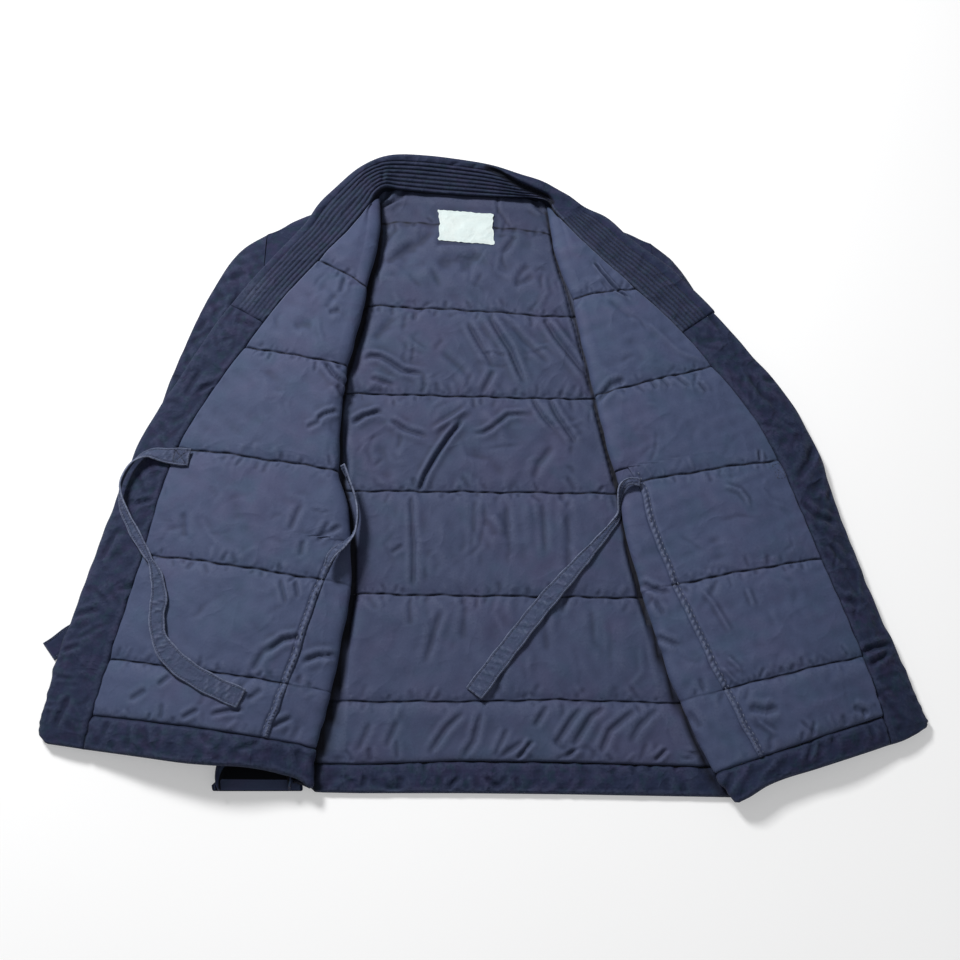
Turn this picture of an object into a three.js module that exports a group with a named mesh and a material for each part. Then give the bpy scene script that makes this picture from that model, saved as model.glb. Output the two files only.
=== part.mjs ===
// A quilted kimono jacket, lying on its back on a flat surface and opened out: the fronts are
// turned outwards, lining up, over the sleeves. Millimetres, +Z up. X runs to the wearer's left,
// Y from the hem to the collar. The origin is at the middle of the jacket's base.
//
// The cloth is described by levels: level 0 is the shoulder line, 1 to 5 are the quilting rows,
// 6 is the seam of the hem facing and 7 is the hem. Each level crosses a side of the jacket in
// this order: the back lies flat as far as SIDE, turns up and comes back as a hidden middle
// layer to FOLD, rolls over and goes outwards again as the visible top layer, past the side
// seam, to EDGE, where the front's lining meets the band, and on to the band's own edge.

import * as THREE from 'three';

// ---- Cloth thicknesses and clearances -------------------------------------------------------

const SHELL_THICK = 1.5;
const LINING_THICK = 4.2;
const GAP = 0.3;
const CLOTH_THICK = SHELL_THICK + GAP + LINING_THICK;
const ROLL_RADIUS = 6.9;
const QUILT_PUFF = 1.6;
const SLEEVE_WALL = 2.5;
const BAND_EDGE_DROP = 2;
const BAND_GAP = 0.9;

// ---- Widths of the sewn-on pieces -----------------------------------------------------------

const TIE_WIDTH = 20;
const TIE_THICK = 1.6;
const OUTER_TIE_WIDTH = 22;
const OUTER_TIE_THICK = 2.4;
const LABEL_WIDTH = 60;
const LABEL_HEIGHT = 43;
const LABEL_THICK = 0.8;
const LABEL_CENTRE = { x: -16, y: 311 };

// ---- Levels ---------------------------------------------------------------------------------

const HEM_SEAM_LEVEL = 6;
const HEM_LEVEL = 7;
const UNDERARM_LEVEL = 2.5;
const LEVEL_GAP = 0.007;
const SEAM_START = { right: 3.65, left: 2.85 };
const COLLAR_END = { right: 1.75, left: 1.57 };
const PANEL_LEVELS = [
  0, 0.3, 0.65, 1, 1.5, 2, UNDERARM_LEVEL, SEAM_START.left, 3, 3.3, SEAM_START.right,
  4, 4.5, 5, 5.5, HEM_SEAM_LEVEL - LEVEL_GAP,
];

// ---- Tables: a row for each level, columns named in the first line ---------------------------

const BACK = table('level rightX rightY rightNeckY centreY leftNeckY leftY leftX', [
  [0, -243, 299, 360, 354, 345, 286, 195],
  [0.3, -243, 272, 320, 317, 306, 262, 195],
  [1, -243, 212, 208, 203, 195, 190, 195],
  [2, -243, 102, 98, 95, 92, 93, 195],
  [2.5, -240, 44, 42, 40, 38, 38, 195],
  [3, -217, -13, -15, -16, -17, -19, 194],
  [4, -178, -125, -126, -128, -129, -131, 196],
  [5, -171, -232, -234, -234, -232, -236, 212],
  [6, -168, -292, -293, -290, -291, -296, 235],
  [7, -168, -318, -319, -319, -320, -323, 251],
]);

const RIGHT_PLAN = table('level foldX foldY edgeX edgeY strip band', [
  [0, -116, 346, -126, 334, 0, 44],
  [0.5, -116, 292, -152, 294, 0, 45],
  [1, -126, 225, -180, 257, 0, 46],
  [1.5, -134, 172, -218, 205, 0, 46],
  [2, -143, 124, -254, 146, 0, 46],
  [2.5, -148, 64, -287, 87, 0, 46],
  [3, -146, 2, -315, 27, 0, 46],
  [3.5, -133, -58, -328, -30, 0, 46],
  [4, -129, -121, -338, -89, 26, 46],
  [4.5, -135, -174, -349, -145, 34, 47],
  [5, -143, -227, -359, -195, 40, 48],
  [6, -154, -279, -369, -249, 44, 48],
  [7, -155, -314, -374, -280, 46, 47],
]);

const RIGHT_HEIGHTS = table('level underZ thirdZ twoThirdsZ edgeZ bandZ', [
  [0, 6.4, 22, 22.5, 23, 22],
  [1, 10.5, 25.5, 25, 24.5, 23.5],
  [2, 11.5, 26.5, 25.5, 24.5, 23],
  [2.5, 11.5, 26, 25.5, 24, 20],
  [3, 10, 25, 25.5, 23, 16],
  [3.5, 9, 25, 27, 23, 12],
  [4, 8.6, 27, 28, 21, 11],
  [5, 8.4, 31, 30, 18, 11],
  [6, 8.4, 34, 31, 17, 10],
  [7, 8.4, 34.5, 29, 15, 9],
]);

const LEFT_PLAN = table('level foldX foldY edgeX edgeY strip band', [
  [0, 77, 334, 85, 324, 0, 44],
  [0.5, 87, 268, 120, 278, 0, 45],
  [1, 102, 209, 172, 220, 0, 46],
  [1.5, 113, 148, 215, 170, 0, 47],
  [2, 123, 88, 249, 122, 0, 47],
  [2.5, 133, 36, 281, 74, 0, 46],
  [3, 143, -14, 310, 13, 18, 45],
  [3.5, 149, -70, 326, -43, 24, 43],
  [4, 161, -128, 341, -94, 30, 41],
  [4.5, 176, -186, 356, -145, 36, 40],
  [5, 191, -236, 370, -193, 41, 40],
  [6, 219, -303, 383, -250, 43, 40],
  [7, 237, -330, 388, -276, 44, 39],
]);

const LEFT_HEIGHTS = table('level underZ thirdZ twoThirdsZ edgeZ bandZ', [
  [0, 6.4, 21.5, 22, 22.5, 22],
  [1, 10.5, 25.5, 25, 24, 22.5],
  [2, 11.5, 26.5, 26, 24, 19.5],
  [2.5, 11.5, 26.5, 26, 23.5, 16],
  [3, 9, 25.5, 26.5, 23, 13],
  [3.5, 8.8, 25.5, 27, 23, 11],
  [4, 8.6, 26.5, 28, 23, 10],
  [5, 8.4, 27, 29, 22, 10],
  [6, 8.4, 23, 24, 18, 10],
  [7, 8.4, 20, 20, 14, 9],
]);

const RIGHT_SLEEVE = table('outerX outerY innerX innerY top', [
  [-243.8, 298, -243.8, 62, 15.5],
  [-279, 268, -253, 50, 15],
  [-305, 213, -259, 36, 15],
  [-322, 160, -259, 18, 15],
  [-338, 100, -253, 0, 15],
  [-346, 45, -244, -20, 15],
  [-345, -15, -229, -52, 15.5],
  [-333, -80, -213, -100, 17],
  [-314, -150, -200, -155, 19.5],
  [-290, -215, -191, -215, 21],
  [-267, -270, -186, -272, 22],
  [-250, -317, -181, -317, 22.5],
]);

const LEFT_SLEEVE = table('outerX outerY innerX innerY top', [
  [195.6, 285, 195.6, 62, 15.5],
  [226, 252, 207, 50, 15],
  [249, 206, 215, 38, 15],
  [266, 158, 220, 22, 15],
  [282, 106, 223, 2, 15],
  [298, 52, 225, -22, 15.5],
  [310, -5, 227, -52, 16],
  [320, -65, 230, -95, 17],
  [329, -125, 234, -145, 18],
  [337, -180, 240, -195, 19],
  [343, -230, 249, -243, 19.5],
]);

const NECK = table('innerX innerY innerZ outerX outerY outerZ', [
  [-126.5, 334.3, 22.9, -160, 360, 24],
  [-120, 349, 22, -141, 379, 27],
  [-110, 361, 17, -118, 393, 29],
  [-94, 362.5, 11, -96, 398, 30],
  [-60, 359.5, 9, -62, 397, 30],
  [-22, 356, 9, -22, 391, 30],
  [16, 353.5, 9, 16, 382, 31],
  [46, 352, 10, 47, 370, 34],
  [68, 347, 15, 76, 358, 35],
  [80, 336, 21, 104, 345, 30],
  [85.5, 324.3, 22.4, 122, 331, 24],
]);

const FRONT_TIE = table('x y z turn', [
  [-300, 14, 27.5, 0],
  [-322, 16, 27, 0],
  [-343, 19, 26, 25],
  [-359, 8, 26, 70],
  [-368, -14, 25, 80],
  [-364, -38, 24, 40],
  [-350, -64, 24, 10],
  [-333, -90, 26.5, 0],
  [-321, -110, 29, -10],
  [-314, -135, 31, 0],
  [-313, -160, 33, 0],
  [-305, -184, 35, 0],
  [-284, -206, 36.5, 0],
  [-254, -224, 37, 0],
  [-224, -237, 36, 0],
]);

const RIGHT_SIDE_TIE = table('x y z turn', [
  [-141.4, 5, 29.6, 60],
  [-133, -14, 23, 88],
  [-125, -32, 20, 90],
  [-121, -50, 19.5, 90],
  [-121, -68, 22, 90],
  [-123, -84, 30, 70],
  [-133, -99, 33, 40],
]);

const LEFT_SIDE_TIE = table('x y z turn', [
  [170, -17, 28, 10],
  [155, -16, 29, 0],
  [141, -18, 28.5, -35],
  [131, -27, 21.5, -75],
  [130, -42, 15, -50],
  [121, -62, 12, -15],
  [97, -94, 10.3, 0],
  [64, -136, 10.3, 0],
  [30, -180, 10.3, 0],
  [-6, -227, 10.3, 0],
]);

const OUTER_TIE = table('x y z turn', [
  [-366, -141, 9, 0],
  [-378, -149, 5.4, 0],
  [-391, -158, 2.6, 0],
  [-404, -167, 1.5, 0],
  [-419, -180, 1.5, 0],
]);

// ---- Cloth colours ----------------------------------------------------------------------------

const CLOTHS = {
  lining: { color: 0x4a5470, roughness: 0.72, metalness: 0 },
  shell: { color: 0x2a304a, roughness: 0.85, metalness: 0 },
  tie: { color: 0x47506b, roughness: 0.75, metalness: 0 },
  label: { color: 0xdfe8e4, roughness: 0.8, metalness: 0 },
};

/** Turns rows of numbers into objects, one for each row, with the named columns. */
function table(columns, rows) {
  const names = columns.split(' ');
  return rows.map((row) => Object.fromEntries(names.map((name, i) => [name, row[i]])));
}

const mix = (a, b, part) => a + (b - a) * part;

/** Smooth curve through the values of a table's column, at any position of its key column. */
function smooth(rows, key, column, at) {
  const last = rows.length - 1;
  let i = 0;
  while (i < last - 1 && rows[i + 1][key] < at) i += 1;
  const slopeAt = (k) => {
    const from = rows[Math.max(k - 1, 0)];
    const to = rows[Math.min(k + 1, last)];
    return (to[column] - from[column]) / (to[key] - from[key]);
  };
  const span = rows[i + 1][key] - rows[i][key];
  const part = Math.min(Math.max((at - rows[i][key]) / span, 0), 1);
  const square = part * part;
  const cube = square * part;
  return rows[i][column] * (2 * cube - 3 * square + 1)
    + slopeAt(i) * span * (cube - 2 * square + part)
    + rows[i + 1][column] * (3 * square - 2 * cube)
    + slopeAt(i + 1) * span * (cube - square);
}

/** Evenly spaced numbers from one value to another, both ends included. */
function steps(from, to, count) {
  return Array.from({ length: count + 1 }, (_, i) => mix(from, to, i / count));
}

/** Height of the padding above its stitch lines: none on a row, fullest half way between two. */
function quiltPuff(level) {
  if (level >= HEM_SEAM_LEVEL) return 0;
  return QUILT_PUFF * Math.sqrt(Math.abs(Math.sin(Math.PI * level)));
}

/**
 * Closed wall between two faces of a grid. pointAt(row, column, face) gives each corner, with
 * face 0 on the upper side and 1 on the lower, and kept(row, column) says which cells exist.
 */
function wall(rowCount, columnCount, pointAt, kept = () => true) {
  const across = columnCount + 1;
  const positions = [];
  for (const face of [0, 1]) {
    for (let row = 0; row <= rowCount; row += 1) {
      for (let column = 0; column <= columnCount; column += 1) {
        positions.push(...pointAt(row, column, face).toArray());
      }
    }
  }
  const faceSize = (rowCount + 1) * across;
  const inside = (row, column) => row >= 0 && column >= 0
    && row < rowCount && column < columnCount && kept(row, column);
  const triangles = [];
  for (let row = 0; row < rowCount; row += 1) {
    for (let column = 0; column < columnCount; column += 1) {
      if (!inside(row, column)) continue;
      const a = row * across + column;
      const b = a + 1;
      const c = b + across;
      const d = a + across;
      triangles.push(a, b, c, a, c, d);
      triangles.push(a + faceSize, c + faceSize, b + faceSize);
      triangles.push(a + faceSize, d + faceSize, c + faceSize);
      const rims = [[a, b, row - 1, column], [b, c, row, column + 1],
        [c, d, row + 1, column], [d, a, row, column - 1]];
      for (const [from, to, nextRow, nextColumn] of rims) {
        if (inside(nextRow, nextColumn)) continue;
        triangles.push(to, from, from + faceSize, to, from + faceSize, to + faceSize);
      }
    }
  }
  return solid(positions, triangles);
}

/** Closed geometry from corners and triangles, with unused corners left out and faces outwards. */
function solid(positions, triangles) {
  const corner = (i) => new THREE.Vector3().fromArray(positions, 3 * i);
  let volume = 0;
  for (let i = 0; i < triangles.length; i += 3) {
    const [a, b, c] = [0, 1, 2].map((k) => corner(triangles[i + k]));
    volume += a.dot(b.cross(c));
  }
  const outward = volume > 0 ? triangles : triangles.slice().reverse();
  const kept = [];
  const renumbered = new Map();
  const index = outward.map((old) => {
    if (!renumbered.has(old)) {
      renumbered.set(old, renumbered.size);
      kept.push(...positions.slice(3 * old, 3 * old + 3));
    }
    return renumbered.get(old);
  });
  const geometry = new THREE.BufferGeometry();
  geometry.setAttribute('position', new THREE.Float32BufferAttribute(kept, 3));
  geometry.setIndex(index);
  geometry.computeVertexNormals();
  return geometry;
}

// ---- The back, lying flat ---------------------------------------------------------------------

const NECK_RIGHT_X = -113;
const NECK_LEFT_X = 76;
const BACK_SIDE_COLUMNS = 4;
const BACK_NECK_COLUMNS = 6;
const BACK_COLUMNS = 2 * BACK_SIDE_COLUMNS + BACK_NECK_COLUMNS;

/** Place on the back: across runs from 0 at the right side to BACK_COLUMNS at the left side. */
function backPlace(level, across) {
  const at = (column) => smooth(BACK, 'level', column, level);
  const centreX = (NECK_RIGHT_X + NECK_LEFT_X) / 2;
  const marks = [
    [0, at('rightX'), at('rightY')],
    [BACK_SIDE_COLUMNS, NECK_RIGHT_X, at('rightNeckY')],
    [BACK_COLUMNS / 2, centreX, at('centreY')],
    [BACK_COLUMNS - BACK_SIDE_COLUMNS, NECK_LEFT_X, at('leftNeckY')],
    [BACK_COLUMNS, at('leftX'), at('leftY')],
  ];
  let i = 0;
  while (i < marks.length - 2 && marks[i + 1][0] < across) i += 1;
  const part = (across - marks[i][0]) / (marks[i + 1][0] - marks[i][0]);
  return { x: mix(marks[i][1], marks[i + 1][1], part), y: mix(marks[i][2], marks[i + 1][2], part) };
}

/** Upper face of the back's lining: flat under the fronts, puffed up where it shows. */
function backTop(level, across) {
  const fromSide = Math.min(across, BACK_COLUMNS - across) / BACK_SIDE_COLUMNS;
  const shows = THREE.MathUtils.smoothstep(fromSide, 0.7, 1.2);
  return CLOTH_THICK + quiltPuff(level) * shows;
}

function backPanel(levels, bottom, topOf) {
  return wall(levels.length - 1, BACK_COLUMNS, (row, column, face) => {
    const place = backPlace(levels[row], column);
    return new THREE.Vector3(place.x, place.y, face ? bottom : topOf(levels[row], column));
  });
}

const backShell = () => backPanel(PANEL_LEVELS, 0, () => SHELL_THICK);
const backLining = () => backPanel(PANEL_LEVELS, SHELL_THICK + GAP, backTop);
const backHem = () => backPanel([HEM_SEAM_LEVEL, 6.5, HEM_LEVEL], 0, () => CLOTH_THICK);

/** Blank label on the back's lining, at the neck. */
function label() {
  const columns = 4;
  const rows = 3;
  const rest = CLOTH_THICK + QUILT_PUFF + GAP;
  return wall(rows, columns, (row, column, face) => new THREE.Vector3(
    LABEL_CENTRE.x + LABEL_WIDTH * (column / columns - 0.5),
    LABEL_CENTRE.y - LABEL_HEIGHT * (row / rows - 0.5),
    face ? rest : rest + LABEL_THICK,
  ));
}

// ---- One side of the jacket: the turned-out front and the back's turned-up side ---------------

/** The side of the jacket that the tables describe; outward is -1 on the right, 1 on the left. */
class Side {
  constructor(plan, heights, sideX, sideY, outward, seamLevel) {
    Object.assign(this, { plan, heights, sideX, sideY, outward, seamLevel });
  }

  planAt(level, column) { return smooth(this.plan, 'level', column, level); }

  heightAt(level, column) { return smooth(this.heights, 'level', column, level); }

  /** Sizes of the cross-section at one level. */
  section(level) {
    const fold = new THREE.Vector2(this.planAt(level, 'foldX'), this.planAt(level, 'foldY'));
    const edge = new THREE.Vector2(this.planAt(level, 'edgeX'), this.planAt(level, 'edgeY'));
    const side = new THREE.Vector2(
      smooth(BACK, 'level', this.sideX, level),
      smooth(BACK, 'level', this.sideY, level),
    );
    const underZ = this.heightAt(level, 'underZ');
    return {
      fold,
      edge,
      side,
      topWay: edge.clone().sub(fold).normalize(),
      hiddenWay: side.clone().sub(fold).normalize(),
      topLength: edge.distanceTo(fold),
      hiddenLength: side.distanceTo(fold),
      underZ,
      foldZ: underZ + ROLL_RADIUS,
      turnRadius: (underZ - CLOTH_THICK) / 2,
      strip: Math.max(this.planAt(level, 'strip'), ROLL_RADIUS),
    };
  }

  /** Turn from the flat back up into the middle layer; part 0 to 1, depth in from the lining. */
  turn(level, part, depth) {
    const at = this.section(level);
    const angle = Math.PI * (part - 0.5);
    const radius = at.turnRadius + depth;
    const reach = GAP + radius * Math.cos(angle);
    const place = at.side.clone().addScaledVector(at.hiddenWay, reach);
    const middleZ = CLOTH_THICK + at.turnRadius;
    return new THREE.Vector3(place.x, place.y, middleZ + radius * Math.sin(angle));
  }

  /** Hidden middle layer, lining down; part 0 at the side, 1 at the roll. */
  middle(level, part, depth) {
    const at = this.section(level);
    const along = mix(at.hiddenLength, ROLL_RADIUS, part);
    const place = at.fold.clone().addScaledVector(at.hiddenWay, along);
    return new THREE.Vector3(place.x, place.y, at.underZ + depth);
  }

  /** Rolled fold, lining outside; part 0 below, 1 on top. */
  roll(level, part, depth) {
    const at = this.section(level);
    const angle = Math.PI * (part - 0.5);
    const radius = ROLL_RADIUS - depth;
    const way = at.hiddenWay.clone().lerp(at.topWay, part).normalize();
    const place = at.fold.clone().addScaledVector(way, ROLL_RADIUS - radius * Math.cos(angle));
    return new THREE.Vector3(place.x, place.y, at.foldZ + radius * Math.sin(angle));
  }

  /** Visible top layer, lining up, at a distance outwards from the fold. */
  top(level, along, depth) {
    const at = this.section(level);
    const place = at.fold.clone().addScaledVector(at.topWay, along);
    const rows = [
      { part: 0, z: at.foldZ + ROLL_RADIUS },
      { part: 1 / 3, z: this.heightAt(level, 'thirdZ') },
      { part: 2 / 3, z: this.heightAt(level, 'twoThirdsZ') },
      { part: 1, z: this.heightAt(level, 'edgeZ') },
    ];
    const part = (along - ROLL_RADIUS) / (at.topLength - ROLL_RADIUS);
    const inner = THREE.MathUtils.smoothstep(part, 0, 0.25);
    const outer = THREE.MathUtils.smoothstep(1 - part, 0, 0.15);
    const puff = depth === 0 ? quiltPuff(level) * inner * outer : 0;
    return new THREE.Vector3(place.x, place.y, smooth(rows, 'part', 'z', part) + puff - depth);
  }

  /** Direction square to the lining's edge, away from the front. */
  bandWay(level) {
    const step = 0.1;
    const before = this.section(Math.max(level - step, 0)).edge;
    const after = this.section(Math.min(level + step, HEM_LEVEL)).edge;
    const along = after.sub(before).normalize();
    return new THREE.Vector2(-along.y * this.outward, along.x * this.outward);
  }

  /** Front band, from the lining's edge (part 0) to the front's own edge (part 1). */
  band(level, part, depth) {
    const at = this.section(level);
    const width = this.planAt(level, 'band');
    const place = at.edge.clone().addScaledVector(this.bandWay(level), BAND_GAP + width * part);
    const edgeZ = this.heightAt(level, 'edgeZ');
    const bandZ = this.heightAt(level, 'bandZ');
    const rounded = part > 0.95 ? BAND_EDGE_DROP * (depth ? -1 : 1) : 0;
    return new THREE.Vector3(place.x, place.y, mix(edgeZ, bandZ, part ** 1.5) - depth - rounded);
  }
}

const RIGHT = new Side(RIGHT_PLAN, RIGHT_HEIGHTS, 'rightX', 'rightY', -1, SEAM_START.right);
const LEFT = new Side(LEFT_PLAN, LEFT_HEIGHTS, 'leftX', 'leftY', 1, SEAM_START.left);

const TURN_COLUMNS = 3;
const MIDDLE_COLUMNS = 2;
const ROLL_COLUMNS = 4;
const TOP_COLUMNS = 7;
const STRIP_COLUMNS = 2;

/**
 * Strip of cloth carried through turn, middle, roll and top in order of its columns. topFrom and
 * topTo give the top layer's ends as distances outwards from the fold.
 */
function folded(side, level, column, topColumns, topFrom, topTo, depth) {
  let at = column;
  if (at < TURN_COLUMNS) return side.turn(level, at / TURN_COLUMNS, depth);
  at -= TURN_COLUMNS;
  if (at < MIDDLE_COLUMNS) return side.middle(level, at / MIDDLE_COLUMNS, depth);
  at -= MIDDLE_COLUMNS;
  if (at < ROLL_COLUMNS) return side.roll(level, at / ROLL_COLUMNS, depth);
  at -= ROLL_COLUMNS;
  const section = side.section(level);
  const along = mix(topFrom(section), topTo(section), at / topColumns);
  return side.top(level, along, depth);
}

const HIDDEN_COLUMNS = TURN_COLUMNS + MIDDLE_COLUMNS + ROLL_COLUMNS;

/** Front panel: rolled over the fold above the side seam's start, and from the seam below it. */
function frontPanel(side, nearDepth, farDepth) {
  const levels = PANEL_LEVELS;
  const seamRow = levels.indexOf(side.seamLevel);
  const underarmRow = levels.indexOf(UNDERARM_LEVEL);
  const seamStart = (section) => section.strip + (section.strip > ROLL_RADIUS ? GAP : 0);
  const edgeEnd = (section) => section.topLength;
  const pointAt = (row, column, face) => folded(
    side, levels[row], column, TOP_COLUMNS, seamStart, edgeEnd, face ? farDepth : nearDepth,
  );
  const kept = (row, column) => {
    if (column >= HIDDEN_COLUMNS) return true;
    if (row >= seamRow) return false;
    return column >= TURN_COLUMNS || row >= underarmRow;
  };
  return wall(levels.length - 1, HIDDEN_COLUMNS + TOP_COLUMNS, pointAt, kept);
}

/** The back's own side, turned up and rolled over as far as the side seam. */
function backSide(side) {
  const levels = PANEL_LEVELS.filter((level) => level > side.seamLevel);
  levels.unshift(side.seamLevel + LEVEL_GAP);
  const pointAt = (row, column, face) => folded(
    side, levels[row], column, STRIP_COLUMNS,
    () => ROLL_RADIUS, (section) => section.strip, face ? CLOTH_THICK : 0,
  );
  const pinched = levels.map((level) => side.section(level).strip - ROLL_RADIUS < 1);
  const kept = (row, column) => column < HIDDEN_COLUMNS || !pinched[row];
  return wall(levels.length - 1, HIDDEN_COLUMNS + STRIP_COLUMNS, pointAt, kept);
}

/** Hem facing of one front, carried on round the fold and the turn to the back's hem. */
function frontHem(side) {
  const levels = [HEM_SEAM_LEVEL, 6.5, HEM_LEVEL];
  const pointAt = (row, column, face) => folded(
    side, levels[row], column, TOP_COLUMNS,
    () => ROLL_RADIUS, (section) => section.topLength, face ? CLOTH_THICK : 0,
  );
  return wall(levels.length - 1, HIDDEN_COLUMNS + TOP_COLUMNS, pointAt);
}

const BAND_COLUMNS = 3;

/** Plain band of one front, from the collar's end to the hem. */
function frontBand(side, collarEnd) {
  const levels = PANEL_LEVELS.filter((level) => level > collarEnd);
  levels.unshift(collarEnd + LEVEL_GAP);
  levels.push(HEM_LEVEL);
  return wall(levels.length - 1, BAND_COLUMNS, (row, column, face) => side.band(
    levels[row], column / BAND_COLUMNS, face ? CLOTH_THICK : 0,
  ));
}

/** Collar: up one front, round the back of the neck and down the other front. */
function collar() {
  const frontStations = (side, end) => steps(end, 0.4, 5).map((level) => ({
    inner: side.band(level, 0, 0),
    outer: side.band(level, 0.9, 0),
  }));
  const neckStations = NECK.map((row) => ({
    inner: new THREE.Vector3(row.innerX, row.innerY, row.innerZ),
    outer: new THREE.Vector3(row.outerX, row.outerY, row.outerZ),
  }));
  const stations = [
    ...frontStations(RIGHT, COLLAR_END.right),
    ...neckStations,
    ...frontStations(LEFT, COLLAR_END.left).reverse(),
  ];
  const columns = 4;
  return wall(stations.length - 1, columns, (row, column, face) => {
    const { inner, outer } = stations[row];
    const before = stations[Math.max(row - 1, 0)];
    const after = stations[Math.min(row + 1, stations.length - 1)];
    const along = after.inner.clone().add(after.outer).sub(before.inner).sub(before.outer);
    const across = outer.clone().sub(inner);
    const outOfFace = across.cross(along).normalize();
    const place = inner.clone().lerp(outer, column / columns);
    return face ? place.addScaledVector(outOfFace, -CLOTH_THICK) : place;
  });
}

// ---- Sleeves ------------------------------------------------------------------------------------

const SLEEVE_RING = 20;
const SQUARENESS = 0.62;
const ELBOW_ROW = 6;

/** Flattened tube, open at the armhole and at the cuff. */
function sleeve(rows) {
  const ringPoint = (row, column, inset) => {
    const { outerX, outerY, innerX, innerY, top } = rows[row];
    const outer = new THREE.Vector2(outerX, outerY);
    const inner = new THREE.Vector2(innerX, innerY);
    const angle = (2 * Math.PI * column) / SLEEVE_RING;
    const bulge = (value) => Math.sign(value) * Math.abs(value) ** SQUARENESS;
    const halfWidth = outer.distanceTo(inner) / 2;
    const way = outer.clone().sub(inner).normalize();
    const across = (halfWidth - inset) * bulge(Math.cos(angle));
    const place = outer.clone().add(inner).multiplyScalar(0.5).addScaledVector(way, across);
    return new THREE.Vector3(place.x, place.y, top / 2 + (top / 2 - inset) * bulge(Math.sin(angle)));
  };
  const positions = [];
  for (const inset of [0, SLEEVE_WALL]) {
    for (let row = 0; row < rows.length; row += 1) {
      for (let column = 0; column < SLEEVE_RING; column += 1) {
        positions.push(...ringPoint(row, column, inset).toArray());
      }
    }
  }
  const faceSize = rows.length * SLEEVE_RING;
  const triangles = [];
  const quad = (a, b, c, d) => triangles.push(a, b, c, a, c, d);
  for (let column = 0; column < SLEEVE_RING; column += 1) {
    const next = (column + 1) % SLEEVE_RING;
    for (let row = 0; row < rows.length - 1; row += 1) {
      const a = row * SLEEVE_RING;
      const b = a + SLEEVE_RING;
      quad(a + column, a + next, b + next, b + column);
      quad(faceSize + a + next, faceSize + a + column, faceSize + b + column, faceSize + b + next);
    }
    const end = faceSize - SLEEVE_RING;
    quad(next, column, faceSize + column, faceSize + next);
    quad(end + column, end + next, faceSize + end + next, faceSize + end + column);
  }
  return solid(positions, triangles);
}

/** The stretch of a sleeve above its elbow row. */
const upperArm = (rows) => rows.slice(0, ELBOW_ROW + 1);

/** The stretch below the elbow row, which starts a gap further down. */
function lowerArm(rows) {
  const [first, ...rest] = rows.slice(ELBOW_ROW);
  return [{ ...first, outerY: first.outerY - GAP, innerY: first.innerY - GAP }, ...rest];
}

// ---- Ties -----------------------------------------------------------------------------------------

/** Flat strap through the rows of a route; turn lifts its left edge, in degrees. */
function strap(route, width, thick, perSpan = 3) {
  const rows = route.map((row, i) => ({ ...row, key: i }));
  const keys = steps(0, rows.length - 1, (rows.length - 1) * perSpan);
  const at = (key, column) => smooth(rows, 'key', column, key);
  const placeAt = (key) => new THREE.Vector3(at(key, 'x'), at(key, 'y'), at(key, 'z'));
  const up = new THREE.Vector3(0, 0, 1);
  return wall(keys.length - 1, 1, (row, column, face) => {
    const ahead = placeAt(Math.min(keys[row] + 0.1, rows.length - 1));
    const along = ahead.sub(placeAt(Math.max(keys[row] - 0.1, 0))).normalize();
    const across = up.clone().cross(along).normalize();
    across.applyAxisAngle(along, THREE.MathUtils.degToRad(at(keys[row], 'turn')));
    const outOfFace = along.clone().cross(across);
    return placeAt(keys[row])
      .addScaledVector(across, width * (column - 0.5))
      .addScaledVector(outOfFace, thick * (0.5 - face));
  });
}

// ---- The jacket -------------------------------------------------------------------------------------

const PIECES = [
  ['back_shell', 'shell', backShell()],
  ['back_lining', 'lining', backLining()],
  ['back_side_right', 'lining', backSide(RIGHT)],
  ['back_side_left', 'lining', backSide(LEFT)],
  ['front_right_lining', 'lining', frontPanel(RIGHT, 0, LINING_THICK)],
  ['front_right_shell', 'shell', frontPanel(RIGHT, LINING_THICK + GAP, CLOTH_THICK)],
  ['front_left_lining', 'lining', frontPanel(LEFT, 0, LINING_THICK)],
  ['front_left_shell', 'shell', frontPanel(LEFT, LINING_THICK + GAP, CLOTH_THICK)],
  ['sleeve_right_upper', 'shell', sleeve(upperArm(RIGHT_SLEEVE))],
  ['sleeve_right_lower', 'shell', sleeve(lowerArm(RIGHT_SLEEVE))],
  ['sleeve_left', 'shell', sleeve(LEFT_SLEEVE)],
  ['collar', 'shell', collar()],
  ['band_right', 'shell', frontBand(RIGHT, COLLAR_END.right)],
  ['band_left', 'shell', frontBand(LEFT, COLLAR_END.left)],
  ['hem_right', 'shell', frontHem(RIGHT)],
  ['hem_back', 'shell', backHem()],
  ['hem_left', 'shell', frontHem(LEFT)],
  ['label', 'label', label()],
  ['tie_front_right', 'tie', strap(FRONT_TIE, TIE_WIDTH, TIE_THICK)],
  ['tie_side_right', 'tie', strap(RIGHT_SIDE_TIE, TIE_WIDTH, TIE_THICK)],
  ['tie_side_left', 'tie', strap(LEFT_SIDE_TIE, TIE_WIDTH, TIE_THICK)],
  ['tie_outer_right', 'shell', strap(OUTER_TIE, OUTER_TIE_WIDTH, OUTER_TIE_THICK, 1)],
];

const jacket = new THREE.Group();
for (const [name, cloth, geometry] of PIECES) {
  const mesh = new THREE.Mesh(geometry, new THREE.MeshStandardMaterial(CLOTHS[cloth]));
  mesh.name = name;
  jacket.add(mesh);
}

const bounds = new THREE.Box3().setFromObject(jacket);
const middle = bounds.getCenter(new THREE.Vector3());
jacket.position.set(-middle.x, -middle.y, -bounds.min.z);

export default jacket;
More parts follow.
